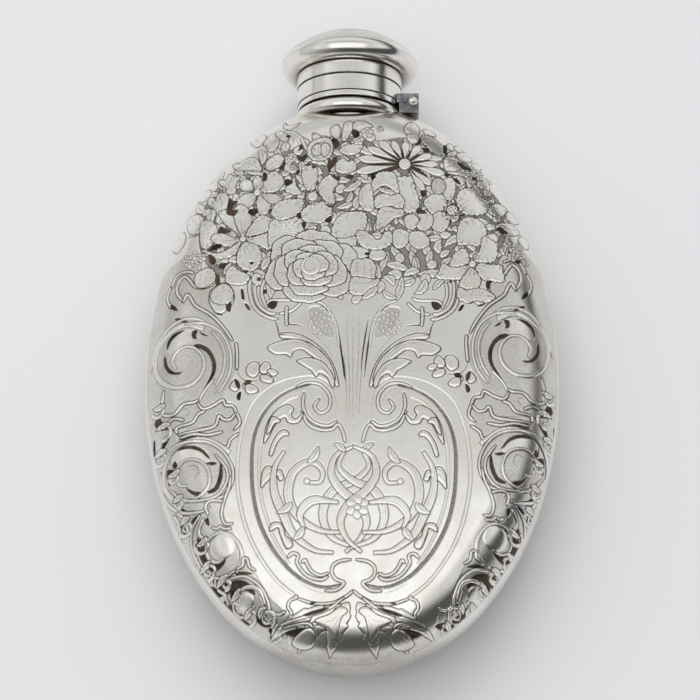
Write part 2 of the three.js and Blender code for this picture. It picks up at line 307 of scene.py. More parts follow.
def turned_piece(name, profile, material, body, nodes, closed=True, tarnish=None, around=168):
    """A turned object. tarnish gives the oxide from radius, height and turn about the axis."""
    profile = np.asarray(profile, float)
    points, faces = turned(profile, around, closed)
    oxide = np.zeros((len(profile), around))
    if tarnish:
        turn = np.linspace(0, 2 * math.pi, around, endpoint=False)
        oxide += tarnish(profile[:, :1], profile[:, 1:], turn)
    return new_object(name, points, faces, material, body, nodes, {"oxide": oxide.ravel()})


def near(value, at, width):
    """1 at `at`, fading to 0 about `width` away."""
    return np.exp(-((value - at) / width)**2)


# ---------------------------------------------------------------- materials


class Nodes:
    """The node tree of a material or world, with short calls for adding and joining nodes."""

    def __init__(self, owner):
        owner.use_nodes = True
        self.owner = owner
        self.tree = owner.node_tree

    def put(self, socket, value):
        """Joins another node's output to a socket, or sets the socket's own value."""
        if isinstance(value, bpy.types.NodeSocket):
            self.tree.links.new(value, socket)
        else:
            socket.default_value = value

    def add(self, kind, values=(), **settings):
        """A new node with its settings and the values of its inputs."""
        node = self.tree.nodes.new("ShaderNode" + kind)
        for key, value in settings.items():
            setattr(node, key, value)
        for socket, value in dict(values).items():
            self.put(node.inputs[socket], value)
        return node

    def math(self, operation, a, b):
        return self.add("Math", {0: a, 1: b}, operation=operation).outputs[0]

    def fit(self, value, low, high, to_low=0.0, to_high=1.0, **settings):
        """Maps low..high to to_low..to_high, and holds it there outside."""
        return self.add("MapRange", {
            "Value": value, "From Min": low, "From Max": high, "To Min": to_low, "To Max": to_high,
        }, **settings).outputs["Result"]

    def facing(self, direction, side):
        """1 where a direction points to a side, -1 where it points away."""
        return self.add("VectorMath", {0: direction, 1: side}, operation="DOT_PRODUCT").outputs["Value"]

    def place(self):
        return self.add("TexCoord").outputs["Object"]

    def noise(self, scale, detail=2.0, roughness=0.5, stretch=None):
        """Noise whose features are about 1/scale metres across."""
        where = self.place()
        if stretch:
            where = self.add("Mapping", {"Vector": where, "Scale": stretch}).outputs["Vector"]
        return self.add("TexNoise", {
            "Vector": where, "Scale": scale, "Detail": detail, "Roughness": roughness,
        }).outputs["Fac"]

    def blend(self, share, a, b):
        """Colour a where share is 0, colour b where it is 1."""
        node = self.add("Mix", {"Factor": share}, data_type="RGBA")
        colour_a, colour_b = node.inputs[6], node.inputs[7]
        self.put(colour_a, a)
        self.put(colour_b, b)
        return node.outputs[2]

    def attribute(self, name):
        return self.add("Attribute", attribute_name=name).outputs["Fac"]

    def oxide_and_painted_shade(self):
        """How far the oxide painted on the mesh covers the metal."""
        return self.fit(self.attribute("oxide"), OXIDE_FROM, OXIDE_FULL)

    def bump(self, height, strength, distance):
        return self.add("Bump", {
            "Height": height, "Strength": strength, "Distance": distance}).outputs["Normal"]

    def finish(self, **values):
        """Sets the inputs of the surface shader and gives the material."""
        shader = self.tree.nodes["Principled BSDF"]
        for key, value in values.items():
            self.put(shader.inputs[key.replace("_", " ")], value)
        return self.owner


SILVER = (0.90, 0.885, 0.85, 1)
SILVER_WARM = (0.80, 0.76, 0.69, 1)
# oxide colours, also used for the painted shade on the body's foot rim
OXIDE = (0.035, 0.033, 0.034, 1)
OXIDE_BROWN = (0.12, 0.085, 0.06, 1)
# colours of the painted dark reflection on the hinge leaves
REFLECTION_BLUE, REFLECTION_GREY = (0.13, 0.15, 0.19, 1), (0.52, 0.52, 0.54, 1)
REFLECTION_BROWN = (0.27, 0.25, 0.25, 1)
GOLD, GOLD_WORN = (0.86, 0.60, 0.25, 1), (0.80, 0.72, 0.55, 1)
CORK_DARK, CORK_LIGHT, CORK_PORE = (0.42, 0.25, 0.12, 1), (0.66, 0.44, 0.25, 1), (0.12, 0.06, 0.03, 1)
OXIDE_FROM, OXIDE_FULL = 0.2, 0.8                  # painted oxide at which it starts and covers all


def new_material(name):
    return Nodes(bpy.data.materials.new(name))


def silver(name, shine, wear):
    """Old sterling silver: clouded lustre, fine rubbing marks, brown to black oxide in the recesses and
    painted shade at the body's foot.
    """
    n = new_material(name)
    painted = n.attribute("oxide")
    speckle = n.fit(n.noise(2600, 3, 0.6), 0.3, 0.7, -0.08, 0.08)
    oxide = n.fit(n.math("ADD", painted, speckle), OXIDE_FROM, OXIDE_FULL)
    clouds = n.noise(140, 4, 0.55)
    rubbed = n.noise(900, 4, 0.7, (1, 5, 5))
    clean = n.blend(n.fit(clouds, 0.35, 0.75), SILVER, SILVER_WARM)
    # colour of the oxide and of the painted shade on the foot rim
    oxide_and_shade_colour = n.blend(n.fit(n.noise(320, 2), 0.35, 0.65), OXIDE, OXIDE_BROWN)
    colour = n.blend(oxide, clean, oxide_and_shade_colour)
    clouded = n.fit(clouds, 0.3, 0.7, shine, shine + wear)
    roughness = n.math("ADD", clouded, n.math("MULTIPLY", oxide, 0.28))
    roughness = n.math("ADD", roughness, n.fit(rubbed, 0.4, 0.7, 0, wear))
    relief = n.math("ADD", n.math("MULTIPLY", n.noise(3500, 3, 0.6), 0.5), rubbed)
    normal = n.bump(relief, 0.25, 0.00002)
    return n.finish(Base_Color=colour, Metallic=1.0, Roughness=roughness, Normal=normal)


def painted_dark_reflection(name):
    """Silver painted dark for the hinge leaves: a painted dark reflection, blue-grey to brown, lighter grey
    in patches.
    """
    n = new_material(name)
    # the painted dark reflection: blue-grey, brown and grey in patches
    painted_reflection = n.add("ValToRGB", {"Fac": n.noise(420, 4, 0.6)})
    stops = painted_reflection.color_ramp.elements
    stops[0].position, stops[0].color = 0.3, REFLECTION_BLUE
    stops[1].position, stops[1].color = 0.7, REFLECTION_GREY
    stops.new(0.5).color = REFLECTION_BROWN
    colour = n.blend(n.oxide_and_painted_shade(), painted_reflection.outputs["Color"], OXIDE)
    rough = n.fit(n.noise(900, 4, 0.7), 0.3, 0.7, 0.25, 0.5)
    normal = n.bump(n.noise(2400, 4, 0.7), 0.3, 0.00003)
    return n.finish(Base_Color=colour, Metallic=1.0, Roughness=rough, Normal=normal)


def gilt(name):
    """Gold-washed silver, thin and worn in places."""
    n = new_material(name)
    worn = n.fit(n.noise(500, 4, 0.65), 0.45, 0.75)
    colour = n.blend(worn, GOLD, GOLD_WORN)
    colour = n.blend(n.oxide_and_painted_shade(), colour, OXIDE_BROWN)
    rough = n.fit(n.noise(1200, 4, 0.7, (1, 6, 1)), 0.3, 0.7, 0.18, 0.36)
    normal = n.bump(n.noise(3000, 3, 0.6), 0.2, 0.00002)
    return n.finish(Base_Color=colour, Metallic=1.0, Roughness=rough, Normal=normal)


def cork(name):
    """Pressed cork: tan grains with darker pores."""
    n = new_material(name)
    grains = n.add("TexVoronoi", {"Vector": n.place(), "Scale": 1100.0}).outputs["Distance"]
    colour = n.blend(n.fit(grains, 0.1, 0.6), CORK_DARK, CORK_LIGHT)
    pores = n.fit(n.noise(1500, 3, 0.7), 0.62, 0.7)
    colour = n.blend(pores, colour, CORK_PORE)
    normal = n.bump(n.math("SUBTRACT", grains, pores), 0.6, 0.0001)
    return n.finish(Base_Color=colour, Roughness=0.85, Normal=normal)


# ---------------------------------------------------------------- etched ornament
#
# Ornament is drawn as filled shapes and lines, in millimetres from the middle of the oval as seen
# from the front. It is painted on a canvas that is the body's face with its rounded edge unrolled.

CELL = 0.1                                         # width of the canvas's cells
ROLLED_OUT = EDGE * (math.pi / 2 - 1)              # how much further out the unrolled seam lies


def as_drawn(points):
    return points


def unroll(points):
    """Moves points seen on the rounded edge out to their place on the unrolled canvas."""
    points = np.asarray(points, float).reshape(-1, 2)
    turn = np.arctan2(points[:, 1] / HALF_LENGTH, points[:, 0] / HALF_WIDTH)
    for _ in range(6):
        on_outline, _ = outline_at(turn)
        along = np.stack([-HALF_WIDTH * np.sin(turn), HALF_LENGTH * np.cos(turn)], -1)
        offset = points - on_outline
        grade = np.sum(offset * along, -1)
        bend = np.sum(along**2, -1) + np.sum(offset * on_outline, -1)
        turn = turn + grade / np.maximum(bend, 1)
    on_outline, normal = outline_at(turn)
    inset = np.clip(np.sum((on_outline - points) * normal, -1), 0, None)
    rolled = EDGE * np.arccos(np.clip(1 - inset / EDGE, -1, 1))
    at_edge = on_outline + normal * (ROLLED_OUT - rolled)[:, None]
    return np.where((inset < EDGE)[:, None], at_edge, points)


class Canvas:
    """Height in millimetres and share of dark oxide over a rectangle of CELL sized cells."""

    def __init__(self, half_width, half_length):
        self.half = np.array([half_width, half_length])
        self.size = np.ceil(2 * self.half / CELL).astype(int) + 1
        self.height = np.zeros(self.size[::-1], np.float32)
        self.oxide = np.zeros(self.size[::-1], np.float32)
        self.hand = as_drawn                       # turns or mirrors what is drawn

    def placed(self, points):
        return unroll(self.hand(points))

    def window(self, points, margin):
        """The part of the canvas about some points, and the x and y of its cells."""
        low = np.floor((points.min(0) - margin + self.half) / CELL).astype(int)
        high = np.ceil((points.max(0) + margin + self.half) / CELL).astype(int) + 1
        low, high = np.clip(low, 0, self.size - 1), np.clip(high, 1, self.size)
        part = np.s_[low[1]:high[1], low[0]:high[0]]
        x = np.arange(low[0], high[0]) * CELL - self.half[0]
        y = np.arange(low[1], high[1]) * CELL - self.half[1]
        return part, x[None, :], y[:, None]

    def inside(self, outline):
        """Signed distance to a closed outline, positive inside, on the window that holds it."""
        outline = self.placed(outline)
        part, x, y = self.window(outline, 0.6)
        nearest = np.full((y.size, x.size), 1e9, np.float32)
        within = np.zeros((y.size, x.size), bool)
        for (ax, ay), (bx, by) in zip(outline, np.roll(outline, -1, 0)):
            dx, dy = bx - ax, by - ay
            t = np.clip(((x - ax) * dx + (y - ay) * dy) / max(dx * dx + dy * dy, 1e-9), 0, 1)
            nearest = np.minimum(nearest, (x - ax - t * dx)**2 + (y - ay - t * dy)**2)
            if ay != by:
                within ^= ((ay > y) != (by > y)) & (x < (bx - ax) * (y - ay) / (by - ay) + ax)
        return part, x, y, np.sqrt(nearest) * np.where(within, 1, -1)

    def cover(self, distance):
        """Share of a cell that lies inside an edge this far away."""
        return np.clip(0.5 + distance / CELL, 0, 1)

    def fill(self, outline, rise=0.1, bevel=0.5, line=0.25, dark=0.8, hatch=None, sink=0.05):
        """A raised shape with rounded shoulders and a dark engraved outline.

        hatch gives the angle, pitch, width and darkness of lines ruled across it.
        """
        part, x, y, depth = self.inside(outline)
        share = self.cover(depth)
        shoulder = np.clip(depth / bevel, 0, 1)
        height = rise * np.sqrt(1 - (1 - shoulder)**2)
        oxide = np.zeros_like(share)
        if hatch:
            angle, pitch, width, shade = hatch
            across = x * math.cos(angle) + y * math.sin(angle)
            stripe = np.abs(np.mod(across, pitch) - pitch / 2)
            oxide = self.cover(width / 2 - stripe) * shade
        self.height[part] = self.height[part] * (1 - share) + height * share
        self.oxide[part] = self.oxide[part] * (1 - share) + oxide * share
        edge = self.cover(line / 2 - np.abs(depth + line / 2)) * dark
        self.oxide[part] = np.maximum(self.oxide[part], edge)
        self.height[part] -= sink * edge

    def ground(self, outline, dark=0.8, depth=0.12, stipple=0.0, clear=0.0):
        """A sunk patch of dark background; stipple is the pitch of dots lighter by clear."""
        part, x, y, inside = self.inside(outline)
        share = self.cover(inside)
        tone = np.full_like(share, dark)
        if stipple:
            dots = np.sin(2 * math.pi * x / stipple) * np.sin(2 * math.pi * y / stipple)
            tone = tone - clear * (dots > 0.25)
        self.oxide[part] = self.oxide[part] * (1 - share) + tone * share
        self.height[part] = self.height[part] * (1 - share) - depth * share

    def line(self, points, width=0.2, dark=0.7, sink=0.05, taper=True):
        """An engraved line, which swells in its middle unless taper is off."""
        points = self.placed(points)
        run = np.concatenate([[0], np.cumsum(np.hypot(*np.diff(points, axis=0).T))])
        share = run / max(run[-1], 1e-9)
        swell = np.sqrt(np.sin(math.pi * np.clip(share, 0.04, 0.96)))
        half = width / 2 * (swell if taper else np.ones_like(share))
        part, x, y = self.window(points, width)
        best = np.full((y.size, x.size), -1e9, np.float32)
        for i in range(len(points) - 1):
            (ax, ay), (bx, by) = points[i], points[i + 1]
            dx, dy = bx - ax, by - ay
            t = np.clip(((x - ax) * dx + (y - ay) * dy) / max(dx * dx + dy * dy, 1e-9), 0, 1)
            gap = np.hypot(x - ax - t * dx, y - ay - t * dy)
            best = np.maximum(best, half[i] * (1 - t) + half[i + 1] * t - gap)
        mark = self.cover(best) * dark
        self.oxide[part] = np.maximum(self.oxide[part], mark)
        self.height[part] -= sink * mark

    def sample(self, flat):
        """Height and oxide at unrolled places, between cells."""
        where = (flat + self.half) / CELL
        corner = np.clip(np.floor(where).astype(int), 0, self.size - 2)
        fx, fy = np.clip(where - corner, 0, 1).T
        ix, iy = corner.T
        found = []
        for layer in (self.height, self.oxide):
            low = layer[iy, ix] * (1 - fx) + layer[iy, ix + 1] * fx
            high = layer[iy + 1, ix] * (1 - fx) + layer[iy + 1, ix + 1] * fx
            found.append(low * (1 - fy) + high * fy)
        return found


# Curves, all as arrays of [x, y]

CURVE_STEPS = 7                                    # steps between two points of a smooth curve


def smooth(points, closed=False):
    """A curve through the points (Catmull-Rom)."""
    points = np.asarray(points, float)
    if closed:
        padded = np.concatenate([points[-1:], points, points[:2]])
    else:
        padded = np.concatenate([2 * points[:1] - points[1:2], points, 2 * points[-1:] - points[-2:-1]])
    t = np.linspace(0, 1, CURVE_STEPS, endpoint=False)[:, None]
    pieces = []
    for a, b, c, d in zip(padded, padded[1:], padded[2:], padded[3:]):
        pieces.append(0.5 * (2 * b + (c - a) * t + (2 * a - 5 * b + 4 * c - d) * t**2
                             + (3 * b - a - 3 * c + d) * t**3))
    if not closed:
        pieces.append(points[-1:])
    return np.concatenate(pieces)


def sides(curve, half):
    """Left and right edges of a strip along a curve, half its width at each point away."""
    along = np.gradient(curve, axis=0)
    along /= np.maximum(np.hypot(*along.T), 1e-9)[:, None]
    across = np.column_stack([-along[:, 1], along[:, 0]]) * np.reshape(half, (-1, 1))
    return curve + across, curve - across


def strip(curve, half):
    """Closed outline of a strip along a curve."""
    left, right = sides(curve, half)
    return np.concatenate([left, right[::-1]])


def even(curve, count):
    """The same curve with evenly spaced points."""
    run = np.concatenate([[0], np.cumsum(np.hypot(*np.diff(curve, axis=0).T))])
    at = np.linspace(0, run[-1], count)
    return np.column_stack([np.interp(at, run, curve[:, 0]), np.interp(at, run, curve[:, 1])])


def polar(centre, radius, degrees):
    """Points about a centre, one for each angle."""
    angle = np.radians(degrees)
    return np.column_stack([centre[0] + radius * np.cos(angle), centre[1] + radius * np.sin(angle)])


def disc(centre, radius, step):
    """Outline of a disc, with a point every so many degrees."""
    return polar(centre, radius, np.arange(0, 360, step))


def spiral(centre, outer, inner, start, turns, count):
    """From radius outer at angle start, winding in to radius inner; turns below 0 wind clockwise."""
    t = np.linspace(0, 1, count)
    return polar(centre, outer + (inner - outer) * t**0.8, start + 360 * turns * t)


def curves(text):
    """Curves written one to a line, as "x,y x,y ..."."""
    return [np.array([[float(v) for v in point.split(",")] for point in line.split()])
            for line in text.strip().splitlines()]


# Motifs, each drawn on a canvas c


def band(c, curve, start, end, rise, dark, line, ridge=False):
    """A raised strap with engraved edges, and a line along its middle if it has a ridge."""
    curve = even(curve, max(8, len(curve)))
    half = np.linspace(start, end, len(curve))
    c.fill(strip(curve, half), rise, 0.35, line, dark)
    if ridge:
        inner, _ = sides(curve, half * 0.35)
        c.line(inner[1:-1], 0.14, dark * 0.7, 0.03)


def swirl(c, curve, start, end):
    """A strap wound along a curve through the points, thinning as it goes."""
    curve = even(smooth(curve), 90)
    half = np.linspace(start, end, len(curve)) / 2
    c.fill(strip(curve, half), 0.15, 0.4, 0.2, 0.7)
    c.line(sides(curve, half * 0.2)[0][3:-3], 0.14, 0.5, 0.03)


LEAF_WIDEST = 0.42                                 # share of a leaf's length at which it is widest


def leaf(c, base, tip, width, bend=0.0, teeth=0, veins=4, rise=0.1, dark=0.7):
    """A pointed leaf with a midrib and side veins; bend pushes its middle to the left of its run."""
    base, tip = np.array(base, float), np.array(tip, float)
    run = tip - base
    length = np.hypot(*run)
    normal = np.array([-run[1], run[0]]) / length
    t = np.linspace(0, 1, 25)
    spine = base + np.outer(t, run) + np.outer(4 * t * (1 - t) * bend, normal)
    power = math.log(0.5) / math.log(LEAF_WIDEST)
    half = width / 2 * np.sin(math.pi * t**power)**0.9
    if teeth:
        half *= 1 - 0.28 * np.mod(t * teeth, 1)
    left, right = sides(spine, half)
    c.fill(np.concatenate([left, right[::-1]]), rise, width * 0.4, 0.24, dark)
    c.line(spine[1:-2], 0.18, dark * 0.9)
    for k in range(veins):
        at = int(4 + 16 * k / veins)
        for edge in (left, right):
            end = min(at + 3, 23)
            vein = [spine[at], spine[at] * 0.45 + edge[end] * 0.55, edge[end] * 0.85 + spine[end] * 0.15]
            c.line(vein, 0.13, dark * 0.7, 0.03)


def petal(c, base, tip, width, blunt=0.6, lines=3, rise=0.1, dark=0.7, notch=0.0):
    """One petal from its base to a rounded or pointed tip, creased from the base outwards."""
    base, tip = np.array(base, float), np.array(tip, float)
    run = tip - base
    normal = np.array([-run[1], run[0]]) / max(np.hypot(*run), 1e-9)
    t = np.linspace(0, 1, 15)
    power = math.log(0.5) / math.log(blunt)
    half = width / 2 * np.sin(math.pi * t**power)**0.8
    left = base + np.outer(t, run) + np.outer(half, normal)
    right = base + np.outer(t, run) - np.outer(half, normal)
    outline = np.concatenate([left, right[-2::-1]])
    if notch:
        outline[14] -= run * notch
    c.fill(outline, rise, width * 0.35, 0.24, dark)
    for k in range(lines):
        lean = (k - (lines - 1) / 2) / max(lines, 1) * 0.75
        reach = 0.62 - 0.3 * abs(lean)
        end = base + reach * run + lean * width / 2 * normal
        c.line([base + 0.06 * run, end], 0.14, dark * 0.8, 0.03)


def dot(c, centre, radius, dark=0.7):
    """A punched dot."""
    c.ground(disc(centre, radius, 45), dark, 0.05)


def seed(c, centre, radius, dark=0.7):
    """A small raised berry or bud."""
    c.fill(disc(centre, radius, 24), 0.12, radius, 0.22, dark)


def floret(c, centre, radius, start=90):
    """A forget-me-not: five round petals about a seed."""
    for k in range(5):
        at = polar(centre, radius * 0.6, [start + 72 * k])[0]
        seed(c, at, radius * 0.42)
    seed(c, centre, radius * 0.24)


def florets(c, places, spin):
    """Forget-me-nots written as "x,y,radius ...", each turned its own way."""
    for x, y, radius in curves(places)[0]:
        floret(c, (x, y), radius, spin * x)


def shading(c, outline, middle, gap=0.75):
    """Short engraved strokes running in from a shape's edge, long and short by turns."""
    count = int(np.sum(np.hypot(*np.diff(outline, axis=0).T)) / gap)
    for k in range(count):
        edge = outline[k * len(outline) // count]
        inward = middle - edge + (0.25, -0.4)
        reach = 0.30 + 0.22 * math.sin(1.7 * k)
        c.line(edge + inward * np.array([[0.06], [0.5 * reach + 0.03], [reach]]), 0.22, 0.65, 0.04)


ROSE_RINGS = [                                     # place, number and size of each ring's petals
    (1.0, 6, 0.56), (0.78, 5, 0.52), (0.56, 5, 0.40), (0.36, 4, 0.3)]


def rose(c, centre, radius, start, squash):
    """A full rose: rings of overlapping round petals wrapped about a tight middle."""
    centre = np.array(centre, float)
    around = np.arange(0, 360, 12)
    for ring, (out, count, spread) in enumerate(ROSE_RINGS):
        for k in range(count):
            angle = start + 360 * k / count + 31 * ring
            middle = polar(centre, radius * (out - spread * 0.62), [angle])[0]
            wave = 1 + 0.07 * np.sin(np.radians(around * 3 + 50 * k)) + 0.03 * np.sin(np.radians(around * 8))
            outline = polar(middle, radius * spread * wave, around)
            outline[:, 1] = centre[1] + (outline[:, 1] - centre[1]) * squash
            c.fill(outline, 0.09 + 0.03 * ring, 0.8, 0.28, 0.85)
            shading(c, outline, centre * 0.5 + outline.mean(0) * 0.5, 0.9)
    c.fill(disc(centre, radius * 0.25, 20), 0.2, 0.6, 0.18, 0.7)
    c.line(spiral(centre, radius * 0.24, radius * 0.05, start, 1.4, 24), 0.18, 0.7)


def draw(c, outlines, **style):
    """Raises each smooth closed outline."""
    for points in curves(outlines):
        c.fill(smooth(points, closed=True), **style)


def draw_petals(c, outlines, **style):
    """Raises each closed outline with a ragged edge, shaded by strokes running in from it."""
    for points in curves(outlines):
        outline = smooth(points, closed=True)
        middle = outline.mean(0)
        ragged = 0.05 * np.sin(2.1 * np.arange(len(outline)))[:, None]
        outline = outline + ragged * (outline - middle)
        c.fill(outline, **style)
        shading(c, outline, middle)


def gaps(c, outlines, dark=0.95, depth=0.12):
    """Sinks each closed outline as a sliver of dark ground."""
    for points in curves(outlines):
        c.ground(smooth(points, closed=True), dark, depth)


def strokes(c, lines, width=0.2, dark=0.7):
    """Engraves each line."""
    for points in curves(lines):
        c.line(smooth(points), width, dark)


def wires(c, lines, width, rise, dark):
    """Thin raised contours with an engraved line on each side."""
    for points in curves(lines):
        curve = smooth(points)
        swell = 4 * np.sin(np.linspace(0.06, math.pi - 0.06, len(curve)))
        half = width / 2 * np.clip(swell, 0.35, 1)
        c.fill(strip(curve, half), rise, width / 2, 0.24, min(dark + 0.15, 0.9), sink=0.06)


def crease(c, middle, outlines, count, reach):
    """Fine lines running out from a flower's middle into each of its petals."""
    middle = np.array(middle, float)
    for points in curves(outlines):
        aim = points.mean(0) - middle
        length = np.max((points - middle) @ aim / np.hypot(*aim))
        aim /= np.hypot(*aim)
        across = np.array([-aim[1], aim[0]])
        for k in range(count):
            aside = k - (count - 1) / 2
            bend = across * aside * 0.28
            end = middle + aim * length * (reach - 0.12 * abs(aside)) + bend * length * 0.6
            c.line(smooth([middle + aim * length * 0.12, (middle + end) / 2 + bend * 0.4, end]),
                   0.15, 0.6, 0.03)


# The bouquet, each part drawn over the one before

LEAVES_BEHIND = 330
GOLDEN_ANGLE = 137.508


def understorey(c):
    """Small leaves and petals packed behind the flowers, so that only slivers of ground show."""
    chance = np.random.default_rng(11)
    for k in range(LEAVES_BEHIND):
        out = math.sqrt((k + 0.5) / LEAVES_BEHIND)
        at = polar((0, 0), out, [GOLDEN_ANGLE * k])[0] * (34.5, 19.5) + (-0.5, 34.5)
        way = chance.uniform(0, 2 * math.pi)
        reach = chance.uniform(1.3, 2.9)
        step = reach * np.array([math.cos(way), math.sin(way)])
        if k % 4:
            leaf(c, at - step, at + step, chance.uniform(1.2, 2.2), chance.uniform(-0.8, 0.8), 3, 4, 0.1, 0.8)
        else:
            petal(c, at - step * 0.7, at + step * 0.7, chance.uniform(1.5, 2.3), 0.4, 4, 0.1, 0.8, 0.3)


DAISY = (11.4, 47.3)
DAISY_RAYS = [                                     # tip and width of each ray
    ((0.7, 45.2), 1.9), ((1.0, 48.6), 1.8), ((3.1, 51.3), 1.7), ((5.7, 52.9), 1.6), ((8.7, 53.0), 1.5),
    ((11.6, 52.9), 1.5), ((14.8, 52.1), 1.6), ((17.4, 49.9), 1.6), ((18.9, 47.5), 1.5),
    ((20.4, 45.1), 1.7), ((17.2, 42.3), 1.6), ((15.8, 40.8), 1.5),
]


def daisy(c):
    """A daisy seen from one side: a dark gap beside each ray, then the rays, then the button."""
    for tip, _ in DAISY_RAYS:
        reach = np.array(tip) - DAISY
        aside = np.array([reach[1], -reach[0]])
        near_side, far_side = 0.55 * reach + 0.06 * aside, 0.6 * reach - 0.16 * aside
        gap = [DAISY, DAISY + near_side, DAISY + 0.9 * reach, DAISY + far_side]
        c.ground(smooth(gap, closed=True), 0.95, 0.12)
    for tip, width in DAISY_RAYS:
        petal(c, DAISY + 0.15 * (np.array(tip) - DAISY), tip, width, 0.72, 2, 0.13)
    seed(c, DAISY, 1.3)
    for k in range(9):
        dot(c, polar(DAISY, 0.75, [40 * k])[0], 0.14, 0.75)


def top_left_blossom(c):
    """Top left: a hanging blossom, a rosebud on its stem, and leaves."""
    draw_petals(c, """
-23,57 -22.6,54.6 -21.6,52.6 -20.3,52.7 -19.5,53.6 -19.3,55 -20,56.6 -21.6,57.6
-18.6,55.6 -19.4,54 -19.8,52.9 -19,51.9 -18.9,50.9 -17.8,50.6 -16.9,51.5 -16.5,53 -16.4,54.5 \
-17.1,55.7
-17.2,55.6 -16.2,53.8 -14.9,53.0 -14.4,54.2 -15.3,55.6 -16.5,56.6
-15.2,59.2 -14.9,58.1 -13.3,57.7 -11.9,58.2 -12.5,57.2 -14,56.3 -15.4,57.2
""", rise=0.08, bevel=0.6)
    stalk = curves("-15,55.8 -13.2,55.3 -11.6,53.8 -10.9,52 -10.2,50.8")[0]
    band(c, smooth(stalk), 0.35, 0.22, 0.08, 0.75, 0.2, ridge=True)
    strokes(c, """
-16.9,55 -17.1,53.6 -17.9,52.4
-21.2,56.8 -21.4,55 -20.8,53.8
-14.9,54.8 -13,53.8 -12.1,52.2 -11.7,50.8
-14.4,54.4 -14.2,53.2 -14.6,52.2
-13.6,54.2 -13.2,53 -13.6,51.8
""")
    gaps(c, """
-14.9,54.6 -14.2,54.9 -13.8,54.3 -14.5,54
-11.7,52 -11.2,51.8 -11,51 -12.2,50.3 -12,50.9
""")
    draw_petals(c, """
-10.1,50.2 -9.4,52.3 -7.5,53.3 -5.6,53.4 -4.7,52.3 -4.6,50.8 -5.2,48.9 -7,47.9 -9.2,48.4
-9,50.8 -8.4,51.7 -7.2,51.8 -6.9,50.6 -7.4,49.3 -8.8,49.4
-6.9,51.7 -5.6,51.9 -5.2,50.6 -5.9,49.2 -6.8,49.3
""", rise=0.13, bevel=1.0)
    strokes(c, """
-9.3,50.4 -8.2,52 -6.3,52.4 -4.9,51.2
-8.2,51.2 -8.6,50.4 -8.2,49.8
-7.4,51.3 -7.8,50.4 -7.4,49.6
-6.2,51.4 -5.8,50.4 -6.3,49.6
-9.6,49.4 -8,48.5 -6,48.6
""")
    draw_petals(c, """
-20.3,46 -20.7,47.6 -21.3,49 -23,49.6 -25,48.9 -26.5,48.9 -26.1,47.4 -25,46.6 -23.4,46.3 -22,46
-19.2,46.4 -19.1,48 -18,49.1 -17,49.7 -16,49.3 -15.2,48.6 -15.6,47.2 -16.8,46.3 -18.3,45.8
-15.2,46.9 -14,47.3 -12.6,46.7 -12.2,45.6 -13.4,45 -14.9,45.6
-28,41 -27.9,42.2 -29.2,43.5 -29.5,45 -28,44.6 -27.4,45.9 -26.2,45.1 -25,44.5 -25.9,43 -25.8,41.8 \
-26,40.8 -27,40.5
""", rise=0.1, bevel=0.9)
    strokes(c, """
-20.6,46.2 -22.4,47.6 -24.4,48.2 -26,48.6
-22,47.4 -21.6,48.6
-23,47.7 -22.8,49
-24,48 -24,48.9
-22.6,47.5 -23.4,46.8
-18.8,46.4 -17.6,47.6 -16.4,48.8
-17.8,47.4 -18.4,48.4
-17.2,48 -15.9,47.6
-26.9,41 -27.6,43 -27.9,44.2
-27.5,43.4 -26.4,44.4
""", 0.17, 0.6)


def small_flower(c):
    """A small five-petalled flower with one ruled leaf."""
    petals = """
-20.6,40.9 -20,42.7 -19.2,44.2 -17.5,45.4 -16,44.6 -15.2,43 -16,41.4 -17.2,40.6 -19,40.4
-21.3,41 -22,42.6 -21.6,44.1 -20.8,44.5 -20.1,43.5 -20,42
-22,41.3 -23.2,40.9 -24.6,41.5 -24.9,42.8 -24,43.9 -22.9,43.6 -22.3,42.8
-21.5,40.2 -24,39.9 -25.7,38.6 -25,37.2 -23,36.9 -21.7,38.2
-20.6,39.8 -19,39.3 -18.1,38 -18.7,35.6 -20.2,35.1 -21.1,37.5
"""
    draw_petals(c, petals, rise=0.1, bevel=0.9)
    crease(c, (-21, 40.4), petals, 5, 0.7)
    seed(c, (-21.1, 40.5), 0.7)
    draw_petals(c, """
-19.8,40 -17,39.8 -15.6,38.6 -17,37.7 -18.6,38
""", rise=0.07, hatch=(0.5, 0.35, 0.14, 0.5))


def left_leaves(c):
    """Broad leaves down the left side."""
    draw_petals(c, """
-29.6,41 -28.3,41 -27.5,39.6 -27.4,37 -27.9,35.4 -29,33.4 -30.1,34 -30,36.2 -30.6,37.5 -31.4,38.1 \
-30.3,39.3 -30.1,40.4
-36.2,37 -34.2,36.9 -33,35.3 -32.9,33.4 -33.5,32 -35.1,31.7 -36.2,33 -36.5,35
-33.2,34.4 -31.4,34.2 -30,32.7 -29.9,30.4 -31,28.4 -32.4,27.2 -33.3,28.6 -33.6,31.4
-38.5,33 -37.4,33.4 -36.8,31.6 -37.2,29.6 -38.6,28.2 -39.6,29.6 -39.4,31.6
-34.3,42.5 -33,43.6 -31.6,43 -31.5,41.4 -32.6,40.2 -34,40.8
""", rise=0.1, bevel=0.9)
    strokes(c, """
-29.2,40.6 -28.9,38 -29.1,35.4 -29,34
-28.9,38.8 -28,37.6
-29,37 -30,35.8
-29,36 -28.2,35.4
-35.6,36.2 -34.6,34.4 -34,32.4
-35,35.3 -34,35.4
-34.5,34 -33.6,33.6
-34.6,33.8 -35.6,33.4
-32,33.4 -31.8,31 -32.2,29
-31.9,31.6 -30.8,30.6
-32,30.4 -33,30.2
-38.6,29 -38,31 -37.9,32.6
""", 0.17, 0.6)


